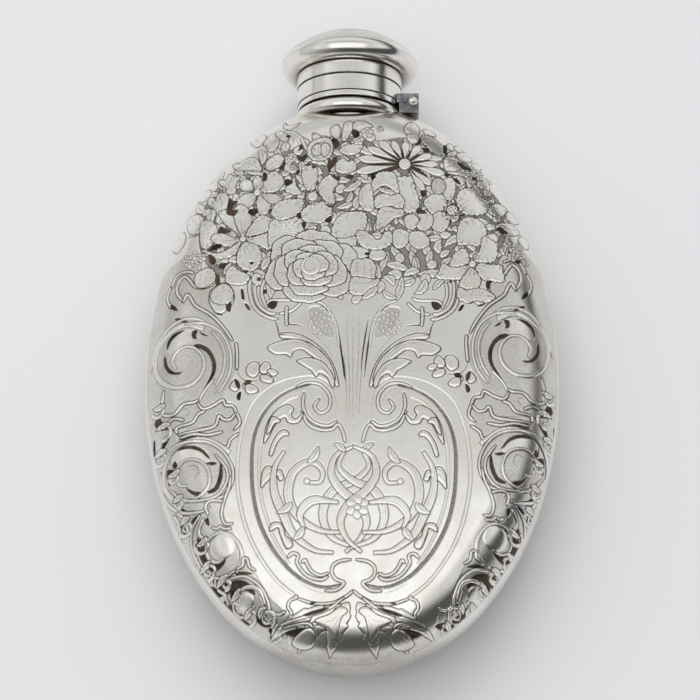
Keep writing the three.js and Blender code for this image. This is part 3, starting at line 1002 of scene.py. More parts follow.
def lily(c):
    """A lily."""
    petals = """
-24.4,29.8 -26.2,31.6 -28.3,33.6 -29.4,36 -27.2,36.4 -25.9,34.6 -24.7,32
-24.3,30.2 -25.7,33.4 -26,36.4 -24.7,37.6 -22.8,36.2 -22.3,33.6 -23.3,31
-23.4,30.2 -22,33 -20.3,34.8 -18.6,34.5 -17.3,33.2 -18.5,31.4 -20.6,30.4
-24.6,29.2 -26.6,30 -28.6,30.8 -30.2,30.8 -31,29.6 -29.2,28.2 -27,27.8
-24.7,28.7 -26.6,27.6 -29,26.2 -31.5,26.6 -33.1,27.6 -30.6,25.2 -27.9,24.9 -25.7,26
-24,28.2 -25.2,26 -25.1,23.6 -23.4,21.9 -21.5,22 -20.1,24.2 -20.5,27 -22.2,28.6
-23.3,29.2 -21,29.9 -18.5,30.4 -17.9,28.5 -18.3,26.7 -20.2,27.6
"""
    draw_petals(c, petals, rise=0.11, bevel=1.1)
    crease(c, (-24.1, 29.3), petals, 4, 0.72)
    seed(c, (-24.1, 29.4), 0.6)


def half_hidden_flower(c):
    """A half-hidden flower with a stippled heart."""
    draw_petals(c, """
-18,33 -16.6,34 -14.5,33.6 -12,34.3 -10.8,33 -11,30.5 -13.4,29.2 -15.8,26.5 -17,25.9 -18.1,27 \
-18.5,29.8
""", rise=0.1, bevel=1.0)
    for k in range(26):
        dot(c, polar((-13.8, 31.4), 0.35 * math.sqrt(k), [137.5 * k])[0], 0.16, 0.7)


def anemone(c):
    """An anemone with a ring of stamens."""
    petals = """
-10,40.8 -11,43 -11.2,45 -10.4,46.6 -9,46.9 -8,45.8 -8,43.4 -8.6,41
-11.2,40 -12.4,41.6 -12.9,44 -13.6,42.6 -14.9,41 -13.4,39.9
-11,38.3 -13,38.7 -15.5,38.4 -17.3,37 -17.9,35.4 -16.5,33.8 -14.5,34 -12.5,34.7 -11.4,36
-7.6,40.9 -6.6,43.4 -5,44.4 -3.2,44 -3.6,42 -4.5,40.5 -3.9,38.5 -4.5,37.4 -6.2,38.4
-9.6,37.2 -11.3,35.4 -10.8,33.6 -8.6,32.9 -6.2,33.2 -4.8,35 -5,37 -6.8,38
"""
    draw_petals(c, petals, rise=0.11, bevel=1.1)
    crease(c, (-8.9, 39.3), petals, 3, 0.62)
    seed(c, (-8.9, 39.3), 1.0)
    for k in range(30):
        reach = 1.5 + 0.75 * math.sin(3.1 * k)**2
        dot(c, polar((-8.9, 39.3), reach, [12 * k])[0], 0.17, 0.85)


def rose_and_petals(c):
    """The rose, and round petals beside it."""
    draw_petals(c, """
-4.8,27.4 -4.4,29.6 -2.5,30.3 -0.5,30.2 0.8,29.4 0.4,27.3 -1.5,25.3 -3.3,25.4
-1.3,26.6 0.2,27.3 2.5,26.9 3.6,25.8 2.5,24.5 0.5,24.3 -1,25.1
3.8,24.5 3.9,26 5.5,26.8 7.1,26 6.9,24.6 5.5,24
-4.5,30 -4,33 -2,35.1 0.5,35.6 2.7,35.2 2.9,32.5 1.8,30.6 0,29.9 -2,29.3
-3.6,45.4 -3.6,47.4 -2.2,48.4 -1.2,47.6 -0.2,48 0.6,46.8 0.2,45.5 -1.6,44.9
-3,50.4 -1.6,51.6 0.4,52 2,51.6 1.6,50.5 0.6,49.6 -1.4,49.4
""", rise=0.11, bevel=1.0)
    rose(c, (-9.2, 22.6), 8.4, 20, squash=0.86)


def top_leaves(c):
    """Leaves and florets over the top."""
    draw_petals(c, """
-4.9,56 -3.7,57 -2.9,56 -3,54.5 -3.2,53.3 -4.2,53.6 -4.9,54.7
-1.9,57.3 -0.6,57.9 0.3,57 -0.3,55.5 -1,54 -1.7,52.9 -2.5,53.2 -2.3,55
0,56 0.5,57.8 2.3,58 4.3,56.6 3,56.1 1.8,55.4 0.8,54.7
15.4,56.4 16.4,57.3 18,56.6 18.1,55.3 16.4,55
""", rise=0.09, bevel=0.7)
    strokes(c, """
-4.2,56.2 -4,55 -4.1,53.8
-3.4,56 -3.5,54.8
-0.9,57.2 -1.2,55.4 -1.9,53.6
0.6,56.4 1.6,57 3.2,56.8
""", 0.17, 0.6)
    floret(c, (3.1, 54.9), 1.3)
    floret(c, (1.2, 52.9), 1.1)
    floret(c, (5.9, 56), 0.8)


def right_shoulder(c):
    """A bud, a ruled leaf and the sprays on the right shoulder."""
    draw_petals(c, """
13,58.9 11.7,57.6 11.4,56 12.3,54.8 14,54.6 14.6,56 14.3,57.8
12,54.6 12.2,53.2 13,52.5 14.2,53 14.4,54.4 13,55
""", rise=0.12, bevel=0.9)
    strokes(c, """
13.3,58.2 12.5,57 12.9,55.6 13.6,55
12.6,54.4 13,53.4
""")
    draw_petals(c, "14.9,54 16,55 17.6,54.8 19,53.5 20.1,52 20.4,50.5 19,49.9 17.5,50.5 16.2,52", rise=0.07,
         hatch=(1.1, 0.42, 0.2, 0.8))
    draw_petals(c, """
20.8,52.4 21.2,53.9 22,53.7 22.3,52.3 21.6,51.8
22.5,52.6 23,54.1 24,53.8 24.3,52.2 23.4,51.8
23,51.2 25,52.5 26.3,51.5 26,50 24.8,49.3 23.6,49.9
20.3,46.5 20.2,49 21.5,49.8 23.5,49.3 24.5,48 23.8,46.8 22,46
22,44.5 23.5,45 24.8,44 24.2,42.8 23.2,42.3 22.2,43
26.4,49.3 27.6,50 28.4,48.9 27.7,47.8 26.6,48
""", rise=0.1, bevel=0.8)
    strokes(c, """
20.3,50.6 22,51.6 24.6,51.5
20.6,46.8 21.8,47.6 23.8,48.6
21.6,47.5 21.2,48.8
22.4,48 22.6,49.2
23.6,50.2 24.8,51.2 25.8,51.2
22.3,43.2 23.4,43.8 24.5,43.9
""")
    florets(c, "26,46.6,1 27.6,45.6,0.9 26.2,44.3,0.9 28.3,43.6,0.9 24.9,45.7,0.8 28,47.2,0.8 "
            "30,45.4,0.8 29.6,41.8,0.8", 20)


def poppy(c):
    """A poppy with a heart of dots."""
    petals = """
18.3,41.2 18.8,43 20.5,44 22,44.1 22.6,42 22,39.6 21.2,38.7 19.5,39.7
22.8,38.7 23.4,41 25,42 27,41.9 28,40.2 29.6,39.3 29.8,37.5 28.5,35.9 25.5,35.5 23.6,36.5
15.7,37.9 16.2,39.1 18.5,40.3 19.9,39.5 20.6,37.5 20,36 18,35.2 16.6,36.2
17.4,34.8 19,36 21,35.4 21.2,33.5 20,31.4 18.2,31.3 17.2,32.8
23.2,28.2 22.9,31 23.8,34 26,34.9 28.3,33.6 29.4,31.8 28.5,29.5 27.4,28.1 25.4,28.4
"""
    draw_petals(c, petals, rise=0.11, bevel=1.1)
    crease(c, (21.9, 36.2), petals, 4, 0.7)
    draw_petals(c, """
17.9,40.4 17.3,42 18,43.8 19.5,43.9 20.3,42 19.5,40.4
""", rise=0.07, hatch=(0.9, 0.35, 0.16, 0.7))
    seed(c, (21.8, 36.4), 1.2, 0.95)
    for k in range(44):
        reach = 0.5 + 1.9 * abs(math.sin(2.2 * k))
        dot(c, polar((21.9, 36), reach, [8.2 * k])[0], 0.2, 0.9)


def peony(c):
    """A peony of many round petals."""
    petals = """
9.7,43.8 12.7,44.1 13.6,41.5 14.4,38.5 14.2,36.3 12.3,35.5 10.9,36.3 11.2,38 10,39.8 9.3,41.5
4.2,42.2 5,44.6 7,45.4 9,44.9 9.6,43 10,40.2 8.7,40.9 7.9,41.6 6.8,42 5.4,41.3 4.4,40.3
1.4,38 1.6,40.5 3,42.3 4.1,41.5 4.4,38.5 4.5,36.2 3.2,35.8 2,36.5
4.9,36.8 5,39.1 6.5,39.9 8.5,39.6 10,39.9 11.2,38.3 10.5,36.5 8.2,37.1 6.5,36.5
5.2,33 5.6,35.8 7.2,36.8 9,36.4 10.8,36.2 11,34.8 9,34 7.4,32.5 6,31.5 5.2,31.6
11.3,33.2 11.5,34.6 13,35.1 14.5,34 14.2,32.5 13,31.5 11.8,32
14,32.5 14.8,33.8 14.3,35.1 15.8,36.1 17.3,35 17.4,33 16.3,31.6 15,31.3
0.8,30 1.5,31 3.5,30.5 5,29 6.3,29.3 6.8,30.7 8.2,30.8 8.7,29 7.8,27.5 5.5,26.6 3,26.8 1.5,28
8.8,29.5 9,31 10.3,31.6 12,30.8 12.2,29 11.2,27.4 9.8,27 8.9,28
12.5,28.5 12.5,30.5 14,31.1 15.8,30.5 16.7,29 16.5,27.8 15,27 13.5,27.2
"""
    draw_petals(c, petals, rise=0.12, bevel=1.1)
    strokes(c, """
2.2,41 1.9,39 2.4,37.2
5.6,42.2 6.6,43.4 8.2,43.2
5.6,37.6 7.4,38.6 9.6,38.4
6,34.8 7.6,35.6 9.6,35.3
6.6,32.6 7.4,33.8 8.8,34.6
12.6,43.2 13,41 13.4,38.4
12.2,37 12.6,38.6
15,32.4 16,33.6 16.2,35
10.2,30.6 11.4,29.8 11.4,28.4
7.1,30.2 7.4,29.2
2.6,30.2 2.4,29
3.4,30 3.3,28.8
4.2,29.4 4,28.4
""", 0.17, 0.6)


def veined_leaf(c):
    """A veined leaf under the peony."""
    draw_petals(c, """
-0.3,20.6 -0.2,23 0.6,24.2 2,24.2 3,24.5 4.2,23.9 5,22.6 4.8,21 4.6,19.8 3,19.8 1.5,20.1
-0.6,18.5 0.3,20 2.5,19.8 4.5,19.5 5.7,19.6 5.2,18.3 3.5,17.3 2.5,16.2 1,15.8 -0.5,16.5
""", rise=0.11, bevel=0.9)
    strokes(c, """
0.6,23.6 1,22 0.9,20.6
2.2,24 2.6,22.2 2.4,20.4
3.8,23.6 4,22 3.8,20.4
-0.1,19.2 2,18.6 4.6,19
""")


def star_flower(c):
    """An open flower of five broad petals."""
    petals = """
26.8,24.6 28,27.5 28.6,30.2 31.5,30 31.7,27.5 31.2,25 29.5,24.3
25.5,24.5 24.6,27.3 22.2,26 21.7,24.5 21.1,23.4 22.5,22.9 24.8,23.7
25.5,23.3 22,22.8 19.7,23.5 18.8,21.5 18.2,20.3 21,19.9 24.2,20.3 25.5,22
25.8,22.8 24,20.5 23.3,18.2 25.5,17.8 27.4,18.4 27.9,20.5 27,22
27,22.8 28.5,20.2 30.5,19.9 33,20.1 32.8,22.5 32.5,23.8 30,23.8 28,24
"""
    draw_petals(c, petals, rise=0.12, bevel=1.1)
    crease(c, (26.2, 23.7), petals, 4, 0.62)
    seed(c, (26.2, 23.8), 0.75)


def right_edge(c):
    """Leaves and florets at the right edge."""
    draw_petals(c, """
22.9,15.8 23.2,18 25,17.6 27.2,18 29.6,17.4 31,16.2 29.2,14.9 26.8,15.2 25,14.6
29.8,36.5 30.8,38.6 32.5,39.5 33.8,38.5 33.2,36.8 31.8,35.9
33.8,36 34.2,38 35.5,38 36.6,36.4 35.5,35.2
31.4,33.2 33,34.4 35,34.6 36.8,33.2 35.2,31.8 33,31.6
36.4,31 37.4,32.6 38.8,31.4 38.4,29.6 37,29.4
29.4,30.6 31,31.4 32,30.4 31.3,29.4
""", rise=0.1, bevel=0.8)
    strokes(c, """
23.4,17 25.6,16.6 28,16.4 30.4,16.4
25.4,17.4 25.8,16
27.4,17.8 28,15.6
30.6,37 32,38.2 33.2,38.4
31.8,33.2 33.6,33.2 36,33.2
33,33.3 33.4,34.2
34.4,33.3 34.6,32.2
""", 0.17, 0.6)
    florets(c, "33.3,27.4,1 35.2,28.4,1.1 35,26.2,1 36.9,27.2,1 36.6,29.3,0.8 33.9,29.2,0.8 "
            "37.9,25.6,0.8", 31)


def left_edge(c):
    """Florets and leaves at the left edge."""
    florets(c, "-34.9,26.2,1.1 -33.2,25.4,1 -35.7,24.3,1 -34,23.5,0.9 -36.7,25.8,0.8 -14.2,48.2,1 "
            "-12.3,48.4,0.9 -11.2,46.6,0.9 -13.2,46.4,0.7 -31.6,46.2,0.8 -29.6,24.2,0.7", 31)
    draw_petals(c, """
-34.2,21.6 -32,22.7 -30.4,22.1 -30.1,20 -31.5,18.6 -33.5,18.3 -34.5,19.6
-27.6,19.5 -27.4,22 -26.1,23.1 -25,22 -22.6,20.6 -23.5,18.8 -25.6,18.6
-30.6,17 -29,18.6 -27.3,18.6 -26.1,16.8 -26.5,14.8 -28.6,14.1 -30.6,15
""", rise=0.1, bevel=0.8)
    strokes(c, """
-33.4,19.2 -33,21.4
-32.2,19 -31.8,21.8
-31.1,19.6 -30.8,21.4
-27,19.6 -26,21 -24,20.6
-30,15.6 -28.6,16.6 -27.4,17.8
""", 0.17, 0.6)


def slivers(c):
    """Slivers of dark ground between the flowers."""
    gaps(c, """
-4.6,53.4 -3.4,53 -3.1,51.8 -3.9,51 -4.6,52
-12.6,49.4 -11.4,49 -10.4,49.6 -10.5,48.2 -11.8,47.9
-10.6,47 -9.4,47.2 -9.8,46.6
-9.2,46.9 -8.2,46.4 -8.8,46
-5.2,48.8 -4.6,46.9 -5.3,45.1 -5.7,47
-4.6,48.3 -3.6,48.9 -3.8,47.4 -4.9,46.5
-19.8,45.4 -19.1,44.8 -18.9,43.8 -19.7,43.1
-15.2,48.4 -14.9,47.4 -15.4,46 -16.4,46.2 -15.8,47.2
-15.1,43.4 -13.9,43.5 -13.3,42.7 -14.2,42 -15,42.1
-12.5,45.6 -11.8,45.7 -11.8,44.8 -12.6,44.7
-27.3,39.4 -26.4,38.8 -25.2,38.5 -26.2,37.6 -26.4,36.6 -25.3,36.4 -25.9,35.1 -27.2,35.2 -27.8,36
-23.1,35.9 -22.2,36.6 -21.1,36.5 -21,35.4 -22.2,35
-18.5,36.2 -17.8,36.5 -17.8,35.8 -18.6,35.4
-29.3,31.1 -29.3,32.5 -28.5,32.4 -26.9,31.4 -27.4,30.9
-31.8,26.9 -30.2,28.4 -28.8,28.3 -28.7,27.6 -30,27.1
-31.6,25.9 -31,26 -30,24.9 -30.1,23.7 -31.2,24
-29.3,23.4 -28.5,23.9 -27.5,23.8 -28,22.7 -29,22.7
-23.9,21.9 -22.8,21.9 -23.2,21.4
-22.7,23.8 -21.6,23.9 -22,23.2
-12.4,34.9 -11.9,35.4 -11.3,34.6 -11.8,33.8
-11.3,33.1 -10.2,32.9 -10.8,31.6
-6.2,33.5 -4.8,34.6 -4.6,33.4 -5.5,33
-4.9,44.4 -3.6,44.2 -2.8,43.6 -3.4,43
-1.6,44 -0.8,44.7 0.1,44.1 -0.7,43.4
-6.3,37.7 -4.9,37 -4.2,36.9 -5.2,36.6
-29.8,21.4 -29,20.4 -29,18.8 -29.9,18.9
-20.7,20.3 -20.1,20.2 -20,19.5 -20.8,19.4
-19.3,17.4 -18.7,17.2 -18.8,16.4 -19.5,16.5
14.3,54.8 15.1,54 14.9,52.8 13.7,52.2 14.6,53.6
15.2,51.4 16.4,51.5 16.8,50.7 15.9,50.2
19.9,52.6 20.5,53.2 20.8,51.4 20,50.6
22.9,48.8 24.2,48.7 25.3,47.2 24.4,46.9 23.4,47.6
20.1,45.2 21.3,45 20.6,44.4
22,44.2 22.7,44.3 23.8,43 23.1,42.9
14.8,40.8 15.9,41 16,39.9 15.2,39.5
14.1,35.4 14,36.6 15.2,36.4 16.2,35.5
2.6,25.7 3.4,26 3.8,25.5 3,25.2
31.5,32.6 32.7,33.2 34.2,32.2 33,31.6
29.3,19.9 30.4,20 30,19 29.6,17.8 29.1,18.6
3.9,44 4.6,44.8 5,44 4.2,43.2
0,55.7 1.1,55.3 1.4,54.1 0.5,53.5 -0.3,54.4
26.2,45.2 27.2,45.4 27.4,44.6 26.4,44.4
25.1,48 26,47.7 26.1,46.8 25.2,47
34,27.9 34.6,27.6 34.2,27
35.8,25.6 36.8,25.8 36.6,25 35.8,24.9
""")


BOUQUET = [
    understorey, top_left_blossom, small_flower, left_leaves, lily, half_hidden_flower, anemone,
    rose_and_petals, top_leaves, daisy, right_shoulder, poppy, peony, veined_leaf, star_flower,
    right_edge, left_edge, slivers,
]


def bouquet(c):
    """The flowers of the upper half, on a patch of dark ground."""
    gaps(c, "-29,20.5 -33.5,27 -33.5,36 -30,43 -22,46 -19,49 -10,52 -5,54 0,54 5,53 12,54 17,52 24,50 "
         "29,44 33,39 34,32 30,21 20,20 10,20 0,19 -10,19 -20,20", 0.6, 0.1)
    for part in BOUQUET:
        part(c)


# The frame of scrolls. Its right half is the left half mirrored; the side scrolls are also turned a
# little, because they were laid out one by one.

LEAN = math.radians(4.6)
MIRROR_X = 0.4                                     # the cartouche, foot and plumes face each other here


def other_hand(points):
    """Mirrored to the right side and turned by LEAN."""
    x, y = (np.asarray(points, float) * (-1, 1)).T
    return np.column_stack([x * math.cos(LEAN) - y * math.sin(LEAN), y * math.cos(LEAN) + x * math.sin(LEAN)])


def facing_hand(points):
    """Mirrored about the middle line of the cartouche."""
    return np.asarray(points, float) * (-1, 1) + (2 * MIRROR_X, 0)


def on_both_sides(c, mirrored, *motifs):
    """Draws the motifs as they are, then again mirrored."""
    for hand in (as_drawn, mirrored):
        c.hand = hand
        for motif in motifs:
            motif(c)
    c.hand = as_drawn


def cartouche_half(c):
    """Half of the oval frame: a flat outer band, a dark groove, and a raised strap inside."""
    outer, groove, inner = (smooth(curve) for curve in curves("""
-4.2,-5 -6.5,-3.2 -10,-2.6 -16,-4 -21,-7.8 -23.6,-14 -24.5,-20 -24.6,-26 -23.9,-31 -22.5,-36.4 -20,-42 \
-16,-47.8 -12,-51.3
-9,-4.7 -12.5,-5.6 -16.5,-8 -19.8,-12.4 -21.4,-18 -21.5,-25 -21,-30 -19.6,-35.6 -16.6,-41.5 \
-12.4,-46.4 -8.4,-48.9 -5.2,-49.5 -2.3,-48.9
-11.6,-7.2 -14.6,-8.6 -17.8,-12.6 -19.6,-18 -19.9,-25 -19.3,-30 -17.8,-35.4 -16.2,-39.4 -13.4,-44.3
"""))
    band(c, outer, 0.32, 0.32, 0.07, 0.6, 0.18)
    half = 0.38 * np.sin(np.linspace(0.1, math.pi - 0.1, len(groove)))**0.4
    left, right = sides(groove, half)
    c.ground(strip(groove, half), 0.75, 0.14, 0.4, 0.3)
    c.line(left, 0.2, 0.65, taper=False)
    c.line(right, 0.16, 0.5, taper=False)
    band(c, inner, 0.3, 0.24, 0.1, 0.55, 0.17)
    wires(c, """
-12,-5.1 -9.4,-4.3 -6.8,-4.8 -4.9,-7.2 -5,-10 -6.8,-11.1 -8.1,-9.6 -7.1,-7.9
-10.4,-6.6 -10.6,-9.4 -9.6,-12 -7.4,-13.6 -5,-14 -3.3,-12.9
-10.9,-10.6 -9.4,-13.6 -6.8,-14.9 -4.4,-14.8 -3,-13.7 -2,-15.4 -1.5,-17.6
-5.6,-50.3 -3.2,-50.1 -1.6,-48.6 -3.2,-47.8 -4.1,-46.6 -4,-45 -2.6,-43.9 -0.2,-43.5
-13.6,-43 -12.6,-42.1 -11.4,-42.6 -11.6,-44.2 -9.6,-46.9 -6.7,-47.9 -5,-47.2
-10.6,-44.1 -9.9,-43.6 -9.4,-44.6 -8.3,-46.2 -6.4,-47 -5,-46.4
""", 0.5, 0.1, 0.65)
    strokes(c, """
-5.6,-3.9 -4,-6 -3.4,-9.4 -3.4,-12.2
-12.6,-6.2 -10,-5.4 -7.4,-5.8 -6,-7.6 -6.1,-9.4 -7,-10
-15,-9.8 -18,-14.6 -19,-20
-11.6,-48.2 -8.4,-50 -5.4,-50.9
""", 0.18, 0.55)
    # acanthus sprays that grow inwards from the strap
    draw(c, """
-18.9,-17.5 -18.2,-13.6 -16.3,-10.6 -14,-9.3 -12.7,-10.1 -13.2,-11.5 -12.2,-12.6 -10.6,-11.2 \
-11.6,-13.2 -13.6,-13.2 -14.6,-12 -16.6,-13.6 -18,-16.4
-18.3,-15.6 -17.4,-12.3 -16.2,-12.2 -15.6,-13 -16.8,-13.4 -17.6,-15
-17.7,-20 -17,-17.6 -15.6,-15.4 -14.2,-15 -13.7,-16 -14.9,-16.2 -16.2,-17.8 -17.2,-20.4
-19.4,-27.5 -19.2,-24.6 -18.4,-23.1 -17.2,-23.2 -16.6,-24.2 -15.4,-23.8 -14.7,-25.6 -15.5,-26 \
-16,-25 -17.4,-25.6 -18.4,-26.4
-17.4,-37.1 -15.7,-36.4 -15.1,-38.2 -13.9,-40.9 -12.7,-40.4 -13,-39.3 -14.2,-38.2 -14.6,-36.8 \
-15.4,-35.5 -17,-35.6
""", rise=0.13, bevel=0.6, line=0.26, dark=0.85)
    strokes(c, """
-18.2,-15.4 -16.4,-11.8 -14,-10.6
-17.2,-19 -15.8,-16.6 -14.6,-15.8
-18.8,-26 -18,-24.4 -16.6,-24.8
-16.6,-36.6 -15.6,-37.6 -14.4,-39.6
""", 0.16, 0.5)


def plume_half(c):
    """Half of the stem of feathers between the bouquet and the cartouche."""
    draw(c, """
-15.6,7 -13.2,7.1 -10.5,6.2 -8,4.6 -5.5,2 -3.9,-1 -3,-4.6 -3.6,-4.8 -5.2,-1.6 -7.4,1.6 -10,4.2 \
-12.8,5.7 -15.4,6.1
-18.3,3.9 -16.4,5 -13,5.6 -10,4.9 -7,2.9 -5,0.4 -3.8,-3 -4.4,-4.4 -5.6,-1.6 -7.6,0.8 -9.5,2.4 \
-11,3.4 -12.7,3 -13.4,1.7 -14.4,2.3 -16.8,2.4
-11.8,0.8 -9.5,1.3 -7,0.6 -5.3,-1 -4,-3.6 -4.2,-5.4 -5.4,-3 -7,-2 -7.8,-2.8 -8.9,-1.4 -9.9,-0.8 \
-11.3,0.2
""", rise=0.15, bevel=0.5, line=0.26, dark=0.85)
    strokes(c, """
-12.6,6.5 -9.6,5.2 -6.8,2.6 -4.4,-1.2
-14,6 -10.6,5.2 -7.6,2.8
-16,4.2 -12.6,4.9 -9.4,4 -6.6,1.6 -4.6,-2
-13.4,3.6 -10.6,4 -7.8,2.2 -5.6,-0.6
-10,0.7 -7.4,0 -5.6,-1.6 -4.3,-4.2
-8,-0.6 -6.2,-1.2 -5,-2.8
-9.8,9.6 -8.4,7.6 -6.2,6
-10.2,11 -9.2,8.6 -7,6
-12,8.6 -8.6,7 -5.4,3.6 -3.2,-1
-13.6,9.2 -10.4,8.6
""", 0.18, 0.65)
    strokes(c, "-8.7,14.5 -6,13 -3.9,10 -2.9,6 -2.3,2 -1.8,-3", 0.5, 0.85)
    wires(c, "-9,14.8 -6.3,13.6 -4.4,11 -3.4,8 -2.9,4", 0.4, 0.1, 0.4)
    gaps(c, "-9.6,12.6 -7.4,13.2 -5.2,11.4 -4.2,8.4 -4,6 -6.4,6.6 -8.8,9.2", 0.35, 0.08)
    for k in range(26):
        where = polar((-6.7, 9.8), 0.62 * math.sqrt(k), [137.5 * k])[0] * (0.9, 1.15) + (-0.6, -1.5)
        seed(c, where, 0.26, 0.5)


def bracket_half(c):
    """Straps and brackets on one side of the plumes' head."""
    wires(c, """
-18.3,22.4 -20.6,21.4 -22.4,19 -22.3,16 -21.4,13.4 -19.8,11.7 -17.6,10.6 -16.2,10.5
-18.4,20.6 -19.6,18.6 -19.7,15.8 -18.6,13.2
-20.4,20.8 -21.3,18.6 -21.1,15.6 -20,13.2 -18,11.8 -16.6,11.7
-17.6,13 -18.4,14.2 -17.2,14.8 -13.6,14.8 -12.2,15.4
-15.9,11.6 -13.5,12.2 -12,13.3 -11.2,14.2
-14.3,13.4 -14.4,11 -14.2,8.9
""", 0.55, 0.12, 0.65)
    strokes(c, """
-17,10.4 -16.3,8.6 -15.8,6.9 -14,6.9
-13.8,11.6 -13.8,9.3 -12.2,9 -10.4,8.6
""", 0.32, 0.8)
    gaps(c, """
-18.6,13.6 -17.6,14.6 -16.4,14.5 -16.5,13.4 -17.4,12.6
-24.4,17.6 -23.8,17.4 -23.5,15.2 -24.2,15.4
-23.6,14.2 -22.8,14 -22.1,12.6 -22.9,12.8
-20.9,20.4 -20.1,20.5 -20.3,19.2 -20.9,19.3
""", 0.85)


def sprig_of_florets(c):
    """A small spray between the cartouche and the side scrolls."""
    strokes(c, """
-25,-0.6 -24.4,-2.4 -22.6,-3.6 -20,-3.4 -18.6,-2.6
-23.4,-3.4 -23.6,-5 -22.4,-6
""", 0.24, 0.8)
    draw(c, """
-22.8,-0.6 -21.8,0.5 -20.4,0.3 -20.2,-1.6 -21.2,-2.8 -22.6,-2.2
-20,-0.8 -18.8,0.6 -17.8,-0.4 -18.4,-1.8 -19.6,-1.9
-18.3,-1.4 -17,-1.2 -16.2,-2 -17.2,-2.6
-19.8,-2.6 -18.6,-2.5 -17.2,-3.4 -17.6,-4.2 -19.4,-3.8
-22.9,-4.6 -21.4,-4.7 -20.4,-5.8 -21.4,-6.5 -22.8,-6.2
-25.6,-3.6 -24.8,-4 -24.7,-5.6 -25.6,-5.8 -26.4,-5
""", rise=0.13, bevel=0.6, dark=0.85)
    strokes(c, """
-22.2,-0.4 -21.2,-0.6 -21,-2
-18.8,0 -18.9,-1.2
-22.2,-5 -21,-5.7
""", 0.15, 0.6)
    gaps(c, """
-25.5,-3 -24.4,-3.8 -24.2,-5.2 -25,-5
-23.4,-4.6 -22,-4.2 -21.8,-3.5 -23,-3.4
-24.8,-6.4 -24,-6 -24.2,-8 -25,-7.6
""", 0.85)


# The chain of scrolls down one side, from the hooked stem above to the small scroll below


def matted_ground(c):
    """The stippled ground behind the side scrolls."""
    outline = curves("""
-31,19 -29.5,10.6 -26.2,5 -25.2,-1 -27.6,-7 -25,-10 -25.2,-15 -26.8,-19 -25.6,-25 -27.6,-32 -25.8,-36 \
-23,-42.5 -20.6,-46 -17.4,-51.6 -14.4,-55 -14,-62 -24,-59 -36,-48 -44,-30 -48,-10 -48,6 -44,20 \
-38,26
""")[0]
    c.ground(smooth(outline, closed=True), 0.38, 0.04, stipple=0.6, clear=0.2)


def hooked_stem(c):
    """A stem that hooks over at the top of the side, with a bud."""
    wires(c, """
-39.6,19.6 -38.6,22 -36.4,22.5 -34.8,21.9
-37,15.3 -38.4,17.8 -38.2,20.2 -36.8,21.4 -35.6,20.2 -34.8,19 -33.6,18.3 -31.6,18.5 -30,19.4
-37,15.3 -36.2,16.9 -35.4,16.1 -34.2,14.1 -31.2,12.1 -29.4,10.4 -27.5,8 -26,5.6
-39.9,19.6 -40.6,17 -39.6,14.4
-25.3,5.2 -25,3 -25,-1
""", 0.5, 0.12, 0.75)
    draw(c, """
-31.2,15.5 -30.7,17.6 -28.2,19.1 -26.3,17.6 -25.9,15 -27.3,13 -29.1,11.9 -30.6,13.6
""", rise=0.13, bevel=0.9, dark=0.85)
    strokes(c, """
-28.3,18.4 -28.6,15.6 -29.2,13
-28.5,16.6 -27,16.2
-28.6,15.4 -30.2,15.6
-28.8,14.4 -27.6,14
""", 0.17, 0.6)
    gaps(c, """
-27.4,14.8 -26.4,14.4 -26.6,12.4 -27.5,12.8
-30,12.3 -28.6,12 -28.2,11.6 -29.2,11.7
-38.9,11.6 -37.6,11.6 -35.9,10.4 -37.4,10.6
-33.3,8 -32.4,7.6 -31.3,6.9 -32.6,7.2
-39.9,15.2 -38.9,14.8 -38.2,13.4 -39.4,14
""", 0.88)


def first_scroll(c):
    """The largest scroll, high on the side; its strap is given as radius and angle."""
    gaps(c, "-40.3,4.4 -40.2,6.6 -38.6,8.1 -36,8.4 -33.9,8.3 -34.4,6.8 -35.1,5.4 -37,4.9 -39.2,3.6",
         0.22, 0.1)
    gaps(c, """
-34.9,8.2 -33.7,8.3 -34,7.1 -33.8,6.4 -34.8,6.6
-41.1,2.9 -40.6,3 -40.1,0.8 -38.6,-0.8 -36.9,-1 -37.9,-1.5 -39.8,-0.9 -40.9,0.8
-34.5,5 -32.8,5.1 -30.8,3.6 -29.6,1 -29.7,-1.6 -31.3,-4.4 -32.3,-5.4 -31.4,-3.6 -30.5,-1.4 \
-30.5,0.8 -31.4,2.8 -33,4 -34,3.6
-40.4,4.6 -40.3,6.6 -38.8,8.2 -36.6,8.6 -38.2,7.6 -39.5,6.4
""", 0.82)
    strap = curves("8.3,62 8.4,90 7.9,120 7.3,150 6.7,180 6.4,215 6.2,250 5.6,285 4.7,325 "
                   "4,10 3.5,60 3.2,110 2.9,165 2.6,215")[0]
    swirl(c, polar((-36.3, 1.4), *strap.T), 1.15, 0.4)
    wires(c, """
-31.4,9.7 -34,11 -37.5,11 -40.8,9 -43,5.6 -44,1
-36.4,9.9 -32.4,9.9 -29.2,8.2 -27.2,5.4 -26.3,1.6 -26.8,-2.4 -28.8,-6
-30.6,8 -28.6,5.4 -27.6,2 -28,-1.4 -29.4,-4.4
-33.2,-8 -32,-5.6 -30,-3
""", 0.45, 0.09, 0.5)
    strokes(c, """
-33,9.2 -30,7.4 -28.1,4 -27.5,0.4 -28.2,-3
-29.6,6 -28.4,3 -28.6,0
-42.4,6.4 -43.2,2 -42.6,-2 -40.6,-5
-27.6,3.4 -26.9,1 -27.2,-1
""", 0.16, 0.5)


